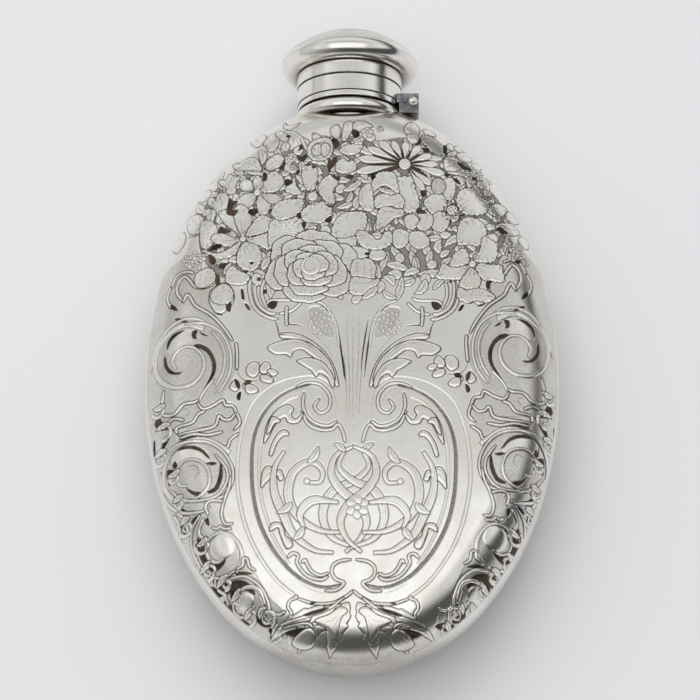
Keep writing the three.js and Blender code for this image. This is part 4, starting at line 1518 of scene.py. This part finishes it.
def curls_between_scrolls(c):
    """Curling contours between the first and second scrolls."""
    wires(c, """
-40.9,-4.6 -41.4,-8.4 -40.8,-10 -38.6,-10.4 -36.6,-8.5 -34.2,-8.1 -33.2,-7.6
-33.4,-8.2 -32.2,-9.7 -30,-9 -28,-7.8 -27.3,-9 -25.8,-9.2 -24.9,-10.8 -24.2,-13 -25.4,-14.6
-37.9,-14.7 -37.8,-13.5 -34.6,-12.7 -33.2,-10.8 -31.8,-10.2
-37.6,-15.1 -33,-14.5 -29.6,-13.6 -28.8,-11.4 -27.7,-12.2 -26.2,-12.2 -25.1,-10.8
-30,-16.9 -28.4,-18 -26.8,-18.4 -26.2,-16.8 -24.4,-15.4
-41,-12.8 -38.6,-11.4 -36.4,-12
-37.2,-15.9 -34,-15.3 -31,-15.6 -28,-15
""", 0.5, 0.12, 0.72)
    strokes(c, """
-37,-10 -36.2,-9.4 -35.2,-9.9 -35.6,-10.9 -36.6,-10.8
-30.2,-5.6 -29.4,-5 -29.3,-6 -30.1,-6.3
-36,-13.8 -31.6,-13.6 -29.4,-12.4
""", 0.2, 0.65)
    gaps(c, """
-43,-11.4 -42,-10 -41,-11.6 -39.2,-13.4 -40.6,-13.4 -41.6,-13
-41.5,-18 -41,-16 -39.6,-14.4 -38.5,-13.6 -39.6,-15.8 -40.6,-17.2
-43.2,-14.8 -42.8,-15 -42.7,-17.8 -43.2,-17.4
""", 0.88)


def second_scroll(c):
    """The second scroll; its strap is given as radius and angle."""
    gaps(c, "-38.9,-18.8 -36.6,-17.9 -33.6,-18 -31.3,-19.2 -30.6,-21.2 -31.4,-22 -33.4,-21.4 -36,-20.7 "
         "-38.4,-21.6", 0.15, 0.1)
    gaps(c, """
-38.9,-18.9 -38.1,-18 -35,-17.7 -32.3,-18.6 -30.5,-20.8 -31.2,-20.6 -32.7,-19.3 -35,-18.5 \
-37.6,-18.6
-38.2,-20.6 -37.6,-22 -38.4,-22.2 -38.8,-21.4
-28.3,-21.3 -27.7,-24.4 -28.6,-27.6 -30.2,-28.6 -31,-28.2 -29.4,-27 -28.6,-24.4
-31.5,-21.9 -30,-22.4 -29,-21.9 -30.2,-21.6
-35.8,-26.8 -34.2,-28.6 -32.2,-28.9 -32.3,-28.2 -34,-27.8
-40,-22.3 -39,-22.2 -38.4,-22.9 -39.4,-25.6 -39.8,-24.4
-37.6,-30.1 -36.6,-30.7 -35.4,-31.6 -33.4,-32 -35.6,-32.2 -36.8,-31.5
-37.9,-16.7 -35,-15.8 -32,-16.2 -31,-17.6 -32.4,-16.8 -35,-16.3
""", 0.82)
    strap = curves("9.4,28 8.2,60 7.4,90 6.9,125 6.3,160 6,200 5.9,240 5.6,280 4.8,320 "
                   "3.9,0 3.3,50 3.3,110 3.5,160 3.2,215 2.6,250")[0]
    swirl(c, polar((-34.6, -24), *strap.T), 1.0, 0.4)
    strokes(c, "-35.6,-22.6 -33.8,-22.2 -33,-23.8 -33.8,-25", 0.3, 0.6)
    wires(c, """
-40.6,-20 -38,-17.4 -34,-16.9 -30.6,-17.4 -27.6,-19.6 -25.7,-23 -25.7,-26.2 -27.4,-29.2 -30,-30
-29.4,-20 -27,-23.2 -26.9,-26.2 -29,-29.2 -33,-30 -36.6,-29 -39.2,-26.4
-41.4,-22 -41,-26 -39.4,-29.4 -36.4,-31.8 -32.4,-32.4 -30.6,-31.4
-26,-25 -26.4,-27.6 -27.4,-30.4 -27.9,-33.4 -27,-35.5 -25.5,-35.3
-30.8,-33.2 -31.4,-31.2 -30.2,-30.2 -27.6,-30.4
-29.9,-36 -28.9,-36.4 -28.1,-35.9 -27.3,-36.5 -25.8,-36.4
""", 0.45, 0.1, 0.62)


def third_scroll(c):
    """The third scroll, about a raised boss."""
    gaps(c, """
-33.2,-37.6 -32.8,-41 -31.2,-43.8 -29.2,-45 -27.4,-44 -26.8,-42.4 -28.4,-43.4 -30,-42.8 -31.4,-41 \
-31.6,-38.8 -32.3,-38.2
-34.6,-34.6 -33.6,-34 -33.1,-33 -34.3,-33.6
-31.5,-34.2 -30.8,-33.8 -30.5,-35.4 -31.2,-35.2
-36.8,-33.6 -35.8,-33 -35.4,-35.4 -36.2,-36
-29.9,-46.4 -28.4,-46.2 -26.2,-48.2 -26.4,-49.8 -28.4,-48.4
-24.9,-45.9 -23,-45.8 -21,-46.4 -22.6,-46.5 -24.4,-46.4
""", 0.84)
    strap = curves("-24.6,-45.8 -23.4,-43.2 -23.9,-40.4 -25.6,-38.2 -28,-37.3 -30.3,-38.2 -31.2,-40.2 "
                   "-30.6,-42.2 -29,-43.2 -27.4,-42.8 -26.7,-41.4")[0]
    swirl(c, strap, 0.9, 0.4)
    c.fill(disc((-27.6, -40.2), 2.6, 15), 0.22, 2.6, 0.12, 0.4)
    wires(c, """
-32.6,-33 -34.3,-36 -34.2,-39.6 -32.4,-43.4 -30,-45.8 -27,-46.4 -24.8,-45.4
-31.8,-33.8 -32.8,-36.6 -31.4,-38.4
-24.4,-45.2 -23.3,-44.6 -23.1,-43.2 -22.3,-43.2 -21.8,-44.8 -20.5,-45.7
-26,-46.9 -22.6,-46.9 -19.6,-49 -17.9,-52 -17.1,-54.6 -15.2,-55 -14.1,-54.5
-38.4,-31.6 -37.2,-34 -36.8,-37.4 -35.4,-41
-37.6,-31.4 -36,-33.4 -35,-36.6
""", 0.48, 0.11, 0.68)


def fourth_scroll(c):
    """The small scroll near the foot, about a boss."""
    gaps(c, """
-25.9,-47.6 -23.4,-47.5 -21.4,-48.8 -20.5,-50.8 -22.4,-49.8 -24.2,-50.2 -25.2,-51.6 -26,-49.8
-30.2,-47.3 -28.8,-48.2 -27.6,-49.6 -28.6,-49.6 -29.8,-48.6
-27.4,-50.6 -26,-51.4 -24.6,-53 -25.8,-53.2 -27,-52
-20.6,-54 -18.4,-55.6 -17,-57 -18.8,-56.8 -20.4,-55.4
-17.5,-57.3 -15,-57.2 -13.2,-58 -15,-58.6 -17,-58.4
-24,-53.6 -22.6,-54.6 -21.6,-56.4 -23,-55.8
""", 0.84)
    strap = curves("-18.6,-53 -19.6,-49.9 -22.2,-49 -24.6,-50.2 -25.2,-52.4 -23.8,-54.2 -21.8,-54.2 "
                   "-20.6,-52.8")[0]
    swirl(c, strap, 0.8, 0.35)
    c.fill(disc((-22.5, -51.8), 1.7, 18), 0.2, 1.7, 0.14, 0.5)
    wires(c, """
-19.6,-50.9 -18.6,-53.4 -18.3,-55.2
-33.4,-42.6 -31.6,-46 -29,-49.4 -26.6,-52.4
-26.6,-52.4 -23.8,-55.6 -20.6,-57.8
-29.4,-46.4 -28.6,-48.4 -27,-49.8 -26.4,-51.6
""", 0.42, 0.1, 0.62)


EDGE_CURLS = 13
CURLS_FROM, CURLS_TO = np.array([-41.6, -8.5]), np.array([-17.0, -60.0])


def curls_along_edge(c):
    """Small curls and leaves in turn along the lower edge, each a little different."""
    oval = np.array([HALF_WIDTH, HALF_LENGTH])
    for k in range(EDGE_CURLS):
        share = k / (EDGE_CURLS - 1)
        at = CURLS_FROM * (1 - share) + CURLS_TO * share
        out = at / oval**2
        out /= np.hypot(*out)
        along = np.array([out[1], -out[0]])
        at = at / np.hypot(*(at / oval)) - (3.1 + 0.9 * math.sin(2.4 * k)) * out
        start = math.degrees(math.atan2(out[1], out[0])) + 70 * math.sin(1.9 * k)
        swirl(c, spiral(at, 1.5 + 0.5 * math.sin(1.3 * k), 0.5, start, 1.2, 14), 0.62, 0.3)
        foot = at + (1.2 + 0.8 * math.sin(3.1 * k)) * along
        tip = foot + (1.3 + 0.5 * math.sin(k)) * out
        leaf(c, foot - 1.5 * out, tip, 1.4, 0.5 * math.cos(2 * k), 3, 2, 0.12, 0.85)


def foot_half(c):
    """Acanthus at the foot, under the cartouche's point."""
    leaf(c, (-3, -54.2), (-17.5, -59.6), 3.2, -1.0, 5, 5, 0.14, 0.85)
    leaf(c, (-1.5, -53.4), (-11.5, -62.4), 4.2, -0.9, 5, 5, 0.14, 0.85)
    leaf(c, (-0.6, -52.8), (-4.6, -63.4), 4.4, -0.5, 5, 5, 0.14, 0.85)
    wires(c, """
-12,-51.3 -11.6,-51.7 -13,-52.3 -13.5,-53.6 -12.8,-54.9 -13.2,-56.4
-11.4,-51.9 -8,-53 -4,-52.9 -1,-51.4 0.4,-50.2
-15,-57 -10,-55.8 -5,-54.2 -1.6,-51.8
-14.5,-57.6 -11.4,-57.2 -9,-57.2 -8.2,-58.6 -8.6,-60.4
-8.2,-57.1 -5,-57.4 -3.2,-59.2 -2.8,-60.6
""", 0.45, 0.1, 0.65)
    gaps(c, """
-10,-55.4 -7.6,-54.5 -4.6,-54 -6.4,-54.9 -9,-55.6
-8.9,-53 -8.4,-52.7 -7.4,-52.9 -8.2,-53.2
-14.2,-58.4 -11,-57.8 -9.6,-58.2 -9.4,-59.8 -12,-59.6
""", 0.8)
    draw(c, """
-7.6,-56.6 -4.6,-55.4 -2.4,-53.8 -0.9,-54.6 -2.2,-56 -2.9,-58.6 -3.3,-60.4 -5,-58.4
-12.6,-60.4 -10.6,-58.6 -8.8,-58 -7.6,-59.4 -8.4,-61.4 -10.6,-61.6
""", rise=0.15, bevel=1.0, dark=0.85)
    strokes(c, """
-6.6,-56.8 -4,-56.6 -2.6,-55
-3.6,-59.4 -3.4,-57.4 -2,-55.2
-11.6,-60.6 -9.4,-59.2
""", 0.18, 0.6)


FLOURISH_MIDDLE = (1.2, -32)


def flourish_half(c):
    """Looped scrolls of the cartouche's centre, which swell in their middle."""
    for curve in curves("""
1,-41 -4.2,-38.6 -6.2,-33.6 -4.2,-28.6 0.6,-26.2 3.6,-23 2.4,-19.6
-1.6,-37.6 -6.6,-37.2 -11.4,-34.2 -13.6,-29.4 -12.6,-24.4 -9,-22 -6.4,-23.8 -6.8,-26.4 -9,-26.6
-3,-31 -8.4,-30.6 -11,-33.4 -10.2,-36.8
0.4,-18.6 -3.4,-20.6 -4.4,-24.6 -2.2,-28.4 1.6,-31.6 3.2,-35.2 1.8,-39 -1.2,-41.8
-14.6,-19.6 -16.6,-23.4 -16.6,-28.6 -14.6,-33.6 -12.4,-38 -8,-41.4 -4,-42
"""):
        line = even(smooth(curve), 70)
        half = 0.26 + 0.62 * np.sin(np.linspace(0.2, math.pi - 0.2, len(line)))**2
        c.fill(strip(line, half), 0.1, 0.35, 0.24, 0.75)
        left, right = sides(line, half * 0.3)
        c.line(left[4:-4], 0.16, 0.6, 0.03)
        c.line(right[4:-4], 0.14, 0.5, 0.03)
    leaf(c, (-9.4, -22.2), (-7.2, -18.6), 1.5, -0.4)
    leaf(c, (-12.9, -31), (-16, -33.2), 1.5, 0.4)
    leaf(c, (-10.4, -36.4), (-12.4, -39.2), 1.4, 0.3)
    leaf(c, (2.4, -19.8), (4.6, -18), 1.2, 0.3)
    seed(c, (-9.6, -26.2), 0.6)


def flourish(c):
    """Two looped scrolls about a small flower, in place of an owner's cipher; they spell nothing."""
    on_both_sides(c, facing_hand, flourish_half)
    seed(c, FLOURISH_MIDDLE, 0.9)
    for k in range(6):
        tip = polar(FLOURISH_MIDDLE, 2.6, [60 * k + 30])[0]
        petal(c, FLOURISH_MIDDLE, tip, 1.7, 0.6, 1, 0.1, 0.6)
    seed(c, FLOURISH_MIDDLE, 0.6)


def stem(c):
    """The stem between the plumes."""
    strokes(c, """
-1,14 -1.2,8 -0.9,2 -0.6,-4 -0.6,-14
1,14 1.4,8 1.3,2 1,-4 0.8,-14
-1.8,4 -1.5,-2 -1.2,-8 -1,-13.4
2.4,5 2,-1 1.6,-7 1.4,-13.2
0.1,13 0.1,4 0.1,-6 0.2,-15
""", 0.22, 0.6)
    strokes(c, """
3.4,10.4 2.7,6 2.1,1.4 1.9,-2
-2.2,2.4 -1.8,-1 -1.5,-4
""", 0.42, 0.8)


SIDE_SCROLLS = [
    matted_ground, hooked_stem, first_scroll, curls_between_scrolls, second_scroll, third_scroll,
    fourth_scroll, curls_along_edge, sprig_of_florets,
]
CANVAS_MARGIN = 1.0


def front_ornament():
    """Everything engraved on the front, drawn from the edge inwards."""
    margin = ROLLED_OUT + CANVAS_MARGIN
    c = Canvas(HALF_WIDTH + margin, HALF_LENGTH + margin)
    on_both_sides(c, other_hand, *SIDE_SCROLLS)
    on_both_sides(c, facing_hand, cartouche_half, foot_half, plume_half, bracket_half)
    stem(c)
    flourish(c)
    bouquet(c)
    return c


ORNAMENT = front_ornament()
HIGHEST_RELIEF = float(ORNAMENT.height.max())      # the back rests on a table, so its relief is sunk
PLAIN_FROM = 0.925                                 # the plain strip beside the seam starts here
FADE_WIDTH, BORDER_WIDTH = 0.006, 0.004
BORDER_DEPTH = 0.05                                # in millimetres
# the second value darkens the rim at the foot: painted shade and painted dark reflection, with some brown
# tarnish
BORDER_OXIDE, FOOT_TARNISH_AND_SHADE = 0.6, 0.46


def ornament(flat, side):
    """Height and oxide of one half of the body, with painted shade on the rim at the foot; the back repeats
    the front.

    How far out a place lies is a share of the way from the middle to the unrolled seam.
    """
    height, oxide = ORNAMENT.sample(flat * (side, 1))
    if side < 0:
        height = height - HIGHEST_RELIEF
    across, along = (flat / (HALF_WIDTH + ROLLED_OUT, HALF_LENGTH + ROLLED_OUT)).T
    outwards = np.hypot(across, along)
    fade = np.clip((PLAIN_FROM - outwards) / FADE_WIDTH, 0, 1)
    border = np.clip(1 - np.abs(outwards - PLAIN_FROM) / BORDER_WIDTH, 0, 1)
    # painted shade and painted dark reflection, with some brown tarnish, on the rounded rim at the foot
    foot = np.clip((-along - 0.72) / 0.2, 0, 1) * np.clip((outwards - 0.86) / 0.04, 0, 1)
    oxide_and_painted_shade = np.maximum(BORDER_OXIDE * border, FOOT_TARNISH_AND_SHADE * foot)
    return height * fade - BORDER_DEPTH * border, np.maximum(oxide * fade, oxide_and_painted_shade)


# ---------------------------------------------------------------- the pieces

engraved = silver("engraved_silver", 0.13, 0.08)
polished = silver("polished_silver", 0.10, 0.08)
# the hinge leaves' silver, with a painted dark reflection
painted_reflection_silver = painted_dark_reflection("tarnished_silver")
gold_wash = gilt("gilt_silver")
cork_skin = cork("cork")


def edges_dark(span, depth, width):
    """Oxide in the joints above and below a ring."""
    return lambda r, y, turn: depth * np.maximum(near(y, span.bottom, width), near(y, span.top, width))


def collar_profile():
    """A cavetto: a narrow fillet under the bead, then a hollow running out into the foot."""
    top, foot = COLLAR.top, COLLAR.radius
    waist = foot - 0.75
    lip = waist + 0.35
    hollow = arc(foot + 2.3, top - 1.9, foot + 2.3 - waist, math.pi, math.pi * 1.32, 10)
    fillet = rounded([[waist, top - 1.6], [lip, top - 1.3, 0.1], [lip, top - 0.3, 0.15], [waist, top, 0.1]])
    return np.concatenate([
        [[NECK_BORE, COLLAR.bottom], [foot, COLLAR.bottom], [foot, top - 4.2]],
        hollow[::-1],
        fillet[1:],
        [[NECK_BORE, top]],
    ])


def collar_tarnish(r, y, turn):
    return np.maximum(0.75 * near(y, COLLAR.top - 1.5, 0.35), 0.8 * near(y, COLLAR.top, 0.2))


def bead_profile():
    """A half-round wire."""
    half = (BEAD.top - BEAD.bottom) / 2
    wire = arc(BEAD.radius - half, BEAD.bottom + half, half, -math.pi / 2, math.pi / 2, 20)
    return np.concatenate([[[NECK_BORE, BEAD.bottom]], wire, [[NECK_BORE, BEAD.top]]])


def bead_tarnish(r, y, turn):
    joints = np.maximum(0.85 * near(y, BEAD.bottom, 0.35), 0.8 * near(y, BEAD.top, 0.2))
    return joints * (r < BEAD.radius - 0.25)


def neck():
    turned_piece("neck_collar_turned", collar_profile(), polished, "flask", ["neck_collar"],
                 tarnish=collar_tarnish)
    turned_piece("neck_bead_turned", bead_profile(), polished, "flask", ["neck_bead"],
                 tarnish=bead_tarnish)


ARRIS = 0.5                                        # extra points this far from a ring's edges hold its stain


def ring_profile(span, bore, fillet, lip=None):
    """A plain ring with rounded arrises; lip gives the bore and height of a wider foot inside."""
    foot_bore = lip[0] if lip else bore
    corners = [
        [foot_bore, span.bottom], [span.radius, span.bottom, fillet], [span.radius, span.bottom + ARRIS],
        [span.radius, span.top - ARRIS], [span.radius, span.top, fillet], [bore, span.top]]
    if lip:
        corners += [[bore, lip[1]], [foot_bore, lip[1]]]
    return rounded(corners)


def rings():
    """The band and ring that hinge, and the cap's skirt above them."""
    stepped = ring_profile(RING, RING_BORE, 0.12, lip=(LIP_BORE, RING.bottom + LIP_HEIGHT))
    turned_piece("lid_band_turned", ring_profile(BAND, LIP_BORE, 0.3), polished, "lid", ["lid_band"],
                 tarnish=edges_dark(BAND, 0.85, 0.16))
    turned_piece("lid_ring_turned", stepped, polished, "lid", ["lid_ring"],
                 tarnish=edges_dark(RING, 0.7, 0.12))
    turned_piece("cap_skirt_turned", ring_profile(SKIRT, SKIRT_BORE, 0.12), polished, "cap", ["cap_skirt"],
                 tarnish=edges_dark(SKIRT, 1.0, 0.3))


def dome_profile(inset, steps):
    """Half of the dome, from its widest to its crown; the crown meets the rolled rim with equal slope."""
    slope = 0.5
    roll, top = ROLL - inset, DOME.top + CROWN_RISE - inset
    for _ in range(20):
        run = ROLL_CENTRE + roll * math.sin(slope)
        rise = top - WIDEST - roll * math.cos(slope)
        slope = 2 * math.atan(rise / run)
    radius = (ROLL_CENTRE + roll * math.sin(slope)) / math.sin(slope)
    meet = math.pi / 2 - slope
    return np.concatenate([
        [[ROLL_CENTRE + roll, DOME.bottom]],
        arc(ROLL_CENTRE, WIDEST, roll, 0.02, meet, steps),
        arc(0, top - radius, radius, meet, math.pi / 2, 2 * steps)[1:],
    ])


def crown_engraving(r, y, turn):
    """Two wreaths of pointed petals inside a double border, on the cap's crown, all of it darkened by
    tarnish.
    """
    petals = np.abs(np.sin(4 * turn))
    lines = near(r, 4.8 + 3.6 * petals, 0.16) + near(r, 3.9 + 2.3 * petals, 0.14) + near(r, 2.0, 0.15)
    border = near(r, 9.9, 0.14) + near(r, 10.5, 0.12)
    return np.clip(0.33 + 0.6 * (lines + border), 0, 0.8) * (y > WIDEST + ROLL / 2)


def underside_tarnish(r, y, turn):
    return 0.95 * near(r, 11.2, 1.1) * (y < WIDEST - 1)


def cap():
    """The domed cap: its dome, the dished underside of the rim, and the sleeve held in the ring."""
    dome = np.concatenate([dome_profile(0, 34), dome_profile(CAP_WALL, 6)[::-1]])
    turned_piece("cap_dome_turned", dome, polished, "cap", ["cap_dome"],
                 tarnish=crown_engraving, around=336)
    floor_at = UNDERSIDE.bottom + 0.1
    underside = np.concatenate([
        [[SKIRT_BORE, floor_at]],
        arc(ROLL_CENTRE, WIDEST, ROLL, -math.pi / 2, 0, 16),
        arc(ROLL_CENTRE, WIDEST, ROLL - CAP_WALL, 0, -math.pi / 2, 8),
        [[SKIRT_BORE, floor_at + CAP_WALL]],
    ])
    turned_piece("cap_underside_turned", underside, polished, "cap", ["cap_underside"],
                 tarnish=underside_tarnish)
    bore, waist, lip_top = SLEEVE.radius - 0.85, SLEEVE.radius - 0.35, SLEEVE.bottom + 0.5
    sleeve = rounded([
        [bore, SLEEVE.bottom, 0.1], [SLEEVE.radius, SLEEVE.bottom, 0.2], [SLEEVE.radius, lip_top, 0.15],
        [waist, lip_top], [waist, SLEEVE.top], [bore, SLEEVE.top]])
    turned_piece("cap_sleeve_turned", sleeve, gold_wash, "cap", ["cap_sleeve"])


SEAL_BORE = 0.9


def washer_profile(span, low_fillet, high_fillet):
    """A disc on the rivet, with rounded edges."""
    return rounded([
        [SEAL_BORE, span.bottom], [span.radius, span.bottom, low_fillet],
        [span.radius, span.top, high_fillet], [SEAL_BORE, span.top]])


def rivet_profile():
    """A domed head under the cork, a shank through the seal, and a flat tail above it."""
    head, tail = CORK.bottom - 0.05, PLATE.top + 0.05
    lean = np.linspace(0, math.pi / 2, 9)
    dome = np.column_stack([2.0 * np.sin(lean), head - 0.55 * np.cos(lean)])
    return np.concatenate([dome, [[0.75, head], [0.75, tail], [1.6, tail], [1.5, RIVET.top], [0, RIVET.top]]])


def seal():
    """The cork, its backing plate and the rivet that holds them."""
    turned_piece("cork_disc_turned", washer_profile(CORK, 0.3, 0.2), cork_skin, "cap", ["cork_disc"])
    turned_piece("seal_plate_turned", washer_profile(PLATE, 0.12, 0.12), gold_wash, "cap", ["seal_plate"])
    turned_piece("seal_rivet_turned", rivet_profile(), gold_wash, "cap", ["seal_rivet"],
                 closed=False, around=48)


CAD_FINISHES = {                                   # CAD nodes that keep their true shape
    "spout": gold_wash, "bayonet_lug_front": gold_wash, "bayonet_lug_back": gold_wash,
    # the hinge leaves wear the painted dark reflection
    "hinge_lower_leaf": painted_reflection_silver, "hinge_upper_leaf": painted_reflection_silver,
    "hinge_pin": polished, "hinge_pin_rear_bead": polished,
}


def finish_cad_nodes():
    for node, finish in CAD_FINISHES.items():
        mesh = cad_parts[node].data
        mesh.materials.clear()
        mesh.materials.append(finish)


# ---------------------------------------------------------------- floor, light and camera

TENT_LEVEL = 0.67
TENT_COLOUR = (0.985, 0.99, 1.0, 1)
DARK_SIDE = (0.83, -0.55, 0.0)                     # the tent is darkest low down on this side
CAMERA_SIDE = (0.2, -0.98, 0)
PAPER, PAPER_PALE = (0.90, 0.90, 0.91, 1), (0.92, 0.92, 0.93, 1)
FLOOR_PROFILE = [                                  # radius and height in metres
    (0.2, 0), (0.5, 0), (1.5, 0), (2.6, 0), (3.2, 0.03), (3.7, 0.14), (4, 0.36)]
FLOOR_SIDES = 96


def paper_floor():
    """A wide pale floor that rises softly far behind the flask on every side."""
    turns = [2 * math.pi * i / FLOOR_SIDES for i in range(FLOOR_SIDES)]
    points = [(r * math.cos(turn), r * math.sin(turn), z) for r, z in FLOOR_PROFILE for turn in turns]
    faces = []
    for row in range(len(FLOOR_PROFILE) - 1):
        here, beyond = row * FLOOR_SIDES, (row + 1) * FLOOR_SIDES
        for i in range(FLOOR_SIDES):
            after = (i + 1) % FLOOR_SIDES
            faces.append((here + i, beyond + i, beyond + after, here + after))
    faces.append(tuple(range(FLOOR_SIDES)))
    mesh = bpy.data.meshes.new("paper_floor")
    mesh.from_pydata(points, [], faces)
    mesh.shade_smooth()
    n = new_material("pale_paper")
    mesh.materials.append(n.finish(Base_Color=n.blend(n.noise(3, 2), PAPER, PAPER_PALE), Roughness=0.8))
    floor = bpy.data.objects.new("paper_floor", mesh)
    bpy.context.scene.collection.objects.link(floor)


def studio_tent():
    """A pale tent, darker low down: most on the hinge side and towards the camera."""
    world = bpy.data.worlds.new("studio")
    bpy.context.scene.world = world
    n = Nodes(world)
    direction = n.add("TexCoord").outputs["Generated"]
    height = n.add("SeparateXYZ", {0: direction}).outputs["Z"]
    lowered = n.fit(n.facing(direction, CAMERA_SIDE), 0.1, 0.6, 0.0, -0.35)
    above = n.fit(n.math("ADD", height, lowered), 0.22, 0.55, interpolation_type="SMOOTHSTEP")
    below = n.fit(height, 0.02, -0.06, interpolation_type="SMOOTHSTEP")
    pale = n.math("MAXIMUM", above, below)
    low = n.fit(n.facing(direction, DARK_SIDE), -0.9, 0.5, 0.75, 0.08, interpolation_type="SMOOTHSTEP")
    share = n.math("MAXIMUM", low, pale)
    overhead = n.fit(height, 0.6, 0.95, 1.26, 0.9)
    share = n.math("MULTIPLY", share, overhead)
    background = n.tree.nodes["Background"]
    n.put(background.inputs["Strength"], n.math("MULTIPLY", share, TENT_LEVEL))
    n.put(background.inputs["Color"], TENT_COLOUR)


def softbox(name, place, aim, size, radiance, mirrored=True):
    """A rectangular light; one that isn't mirrored brightens the floor without showing in the silver."""
    light = bpy.data.lights.new(name, "AREA")
    light.shape = "RECTANGLE"
    light.size, light.size_y = size
    light.energy = radiance * math.pi * size[0] * size[1]
    lamp = bpy.data.objects.new(name, light)
    lamp.location = place
    lamp.rotation_euler = (Vector(aim) - Vector(place)).to_track_quat("-Z", "Y").to_euler()
    lamp.visible_glossy = mirrored
    bpy.context.scene.collection.objects.link(lamp)


CAMERA_TILT, CAMERA_ROLL = math.radians(71), math.radians(0.25)
CAMERA_DISTANCE = 900.0
LENS, SENSOR = 210.1, 36


def camera():
    """The photograph's camera: high over the base end, a long lens a little off centre."""
    back = Vector((0, -math.cos(CAMERA_TILT), math.sin(CAMERA_TILT)))
    up = Vector((0, math.sin(CAMERA_TILT), math.cos(CAMERA_TILT)))
    aim = Vector((-0.526, -0.35, MIDDLE)) + 0.37 * up
    made = bpy.data.objects.new("camera", bpy.data.cameras.new("camera"))
    made.data.lens, made.data.sensor_width = LENS, SENSOR
    made.data.clip_start, made.data.clip_end = 0.05, 20
    made.rotation_mode = "QUATERNION"
    level = (-back).to_track_quat("-Z", "Y")
    made.rotation_quaternion = Matrix.Rotation(CAMERA_ROLL, 3, back).to_quaternion() @ level
    made.location = (aim + CAMERA_DISTANCE * back) * MM
    bpy.context.scene.collection.objects.link(made)
    bpy.context.scene.camera = made


# ---------------------------------------------------------------- everything together

body_half("front_body", 1, 0.0, FINE, engraved, ["front_shell"])
body_half("back_body", -1, BACK_PANEL, BACK_FINE, engraved, ["back_shell"])
neck()
rings()
cap()
seal()
finish_cad_nodes()
paper_floor()
studio_tent()
softbox("overhead", (-0.1, -0.35, 1.3), (-0.1, -0.35, 0), (1.5, 1.18), 0.52)
softbox("paper_light", (-0.1, 0.85, 1.2), (0, 0.3, 0), (1.4, 1.0), 1.3, mirrored=False)
camera()
bpy.context.scene.view_settings.view_transform = "Standard"

bpy.context.view_layer.update()
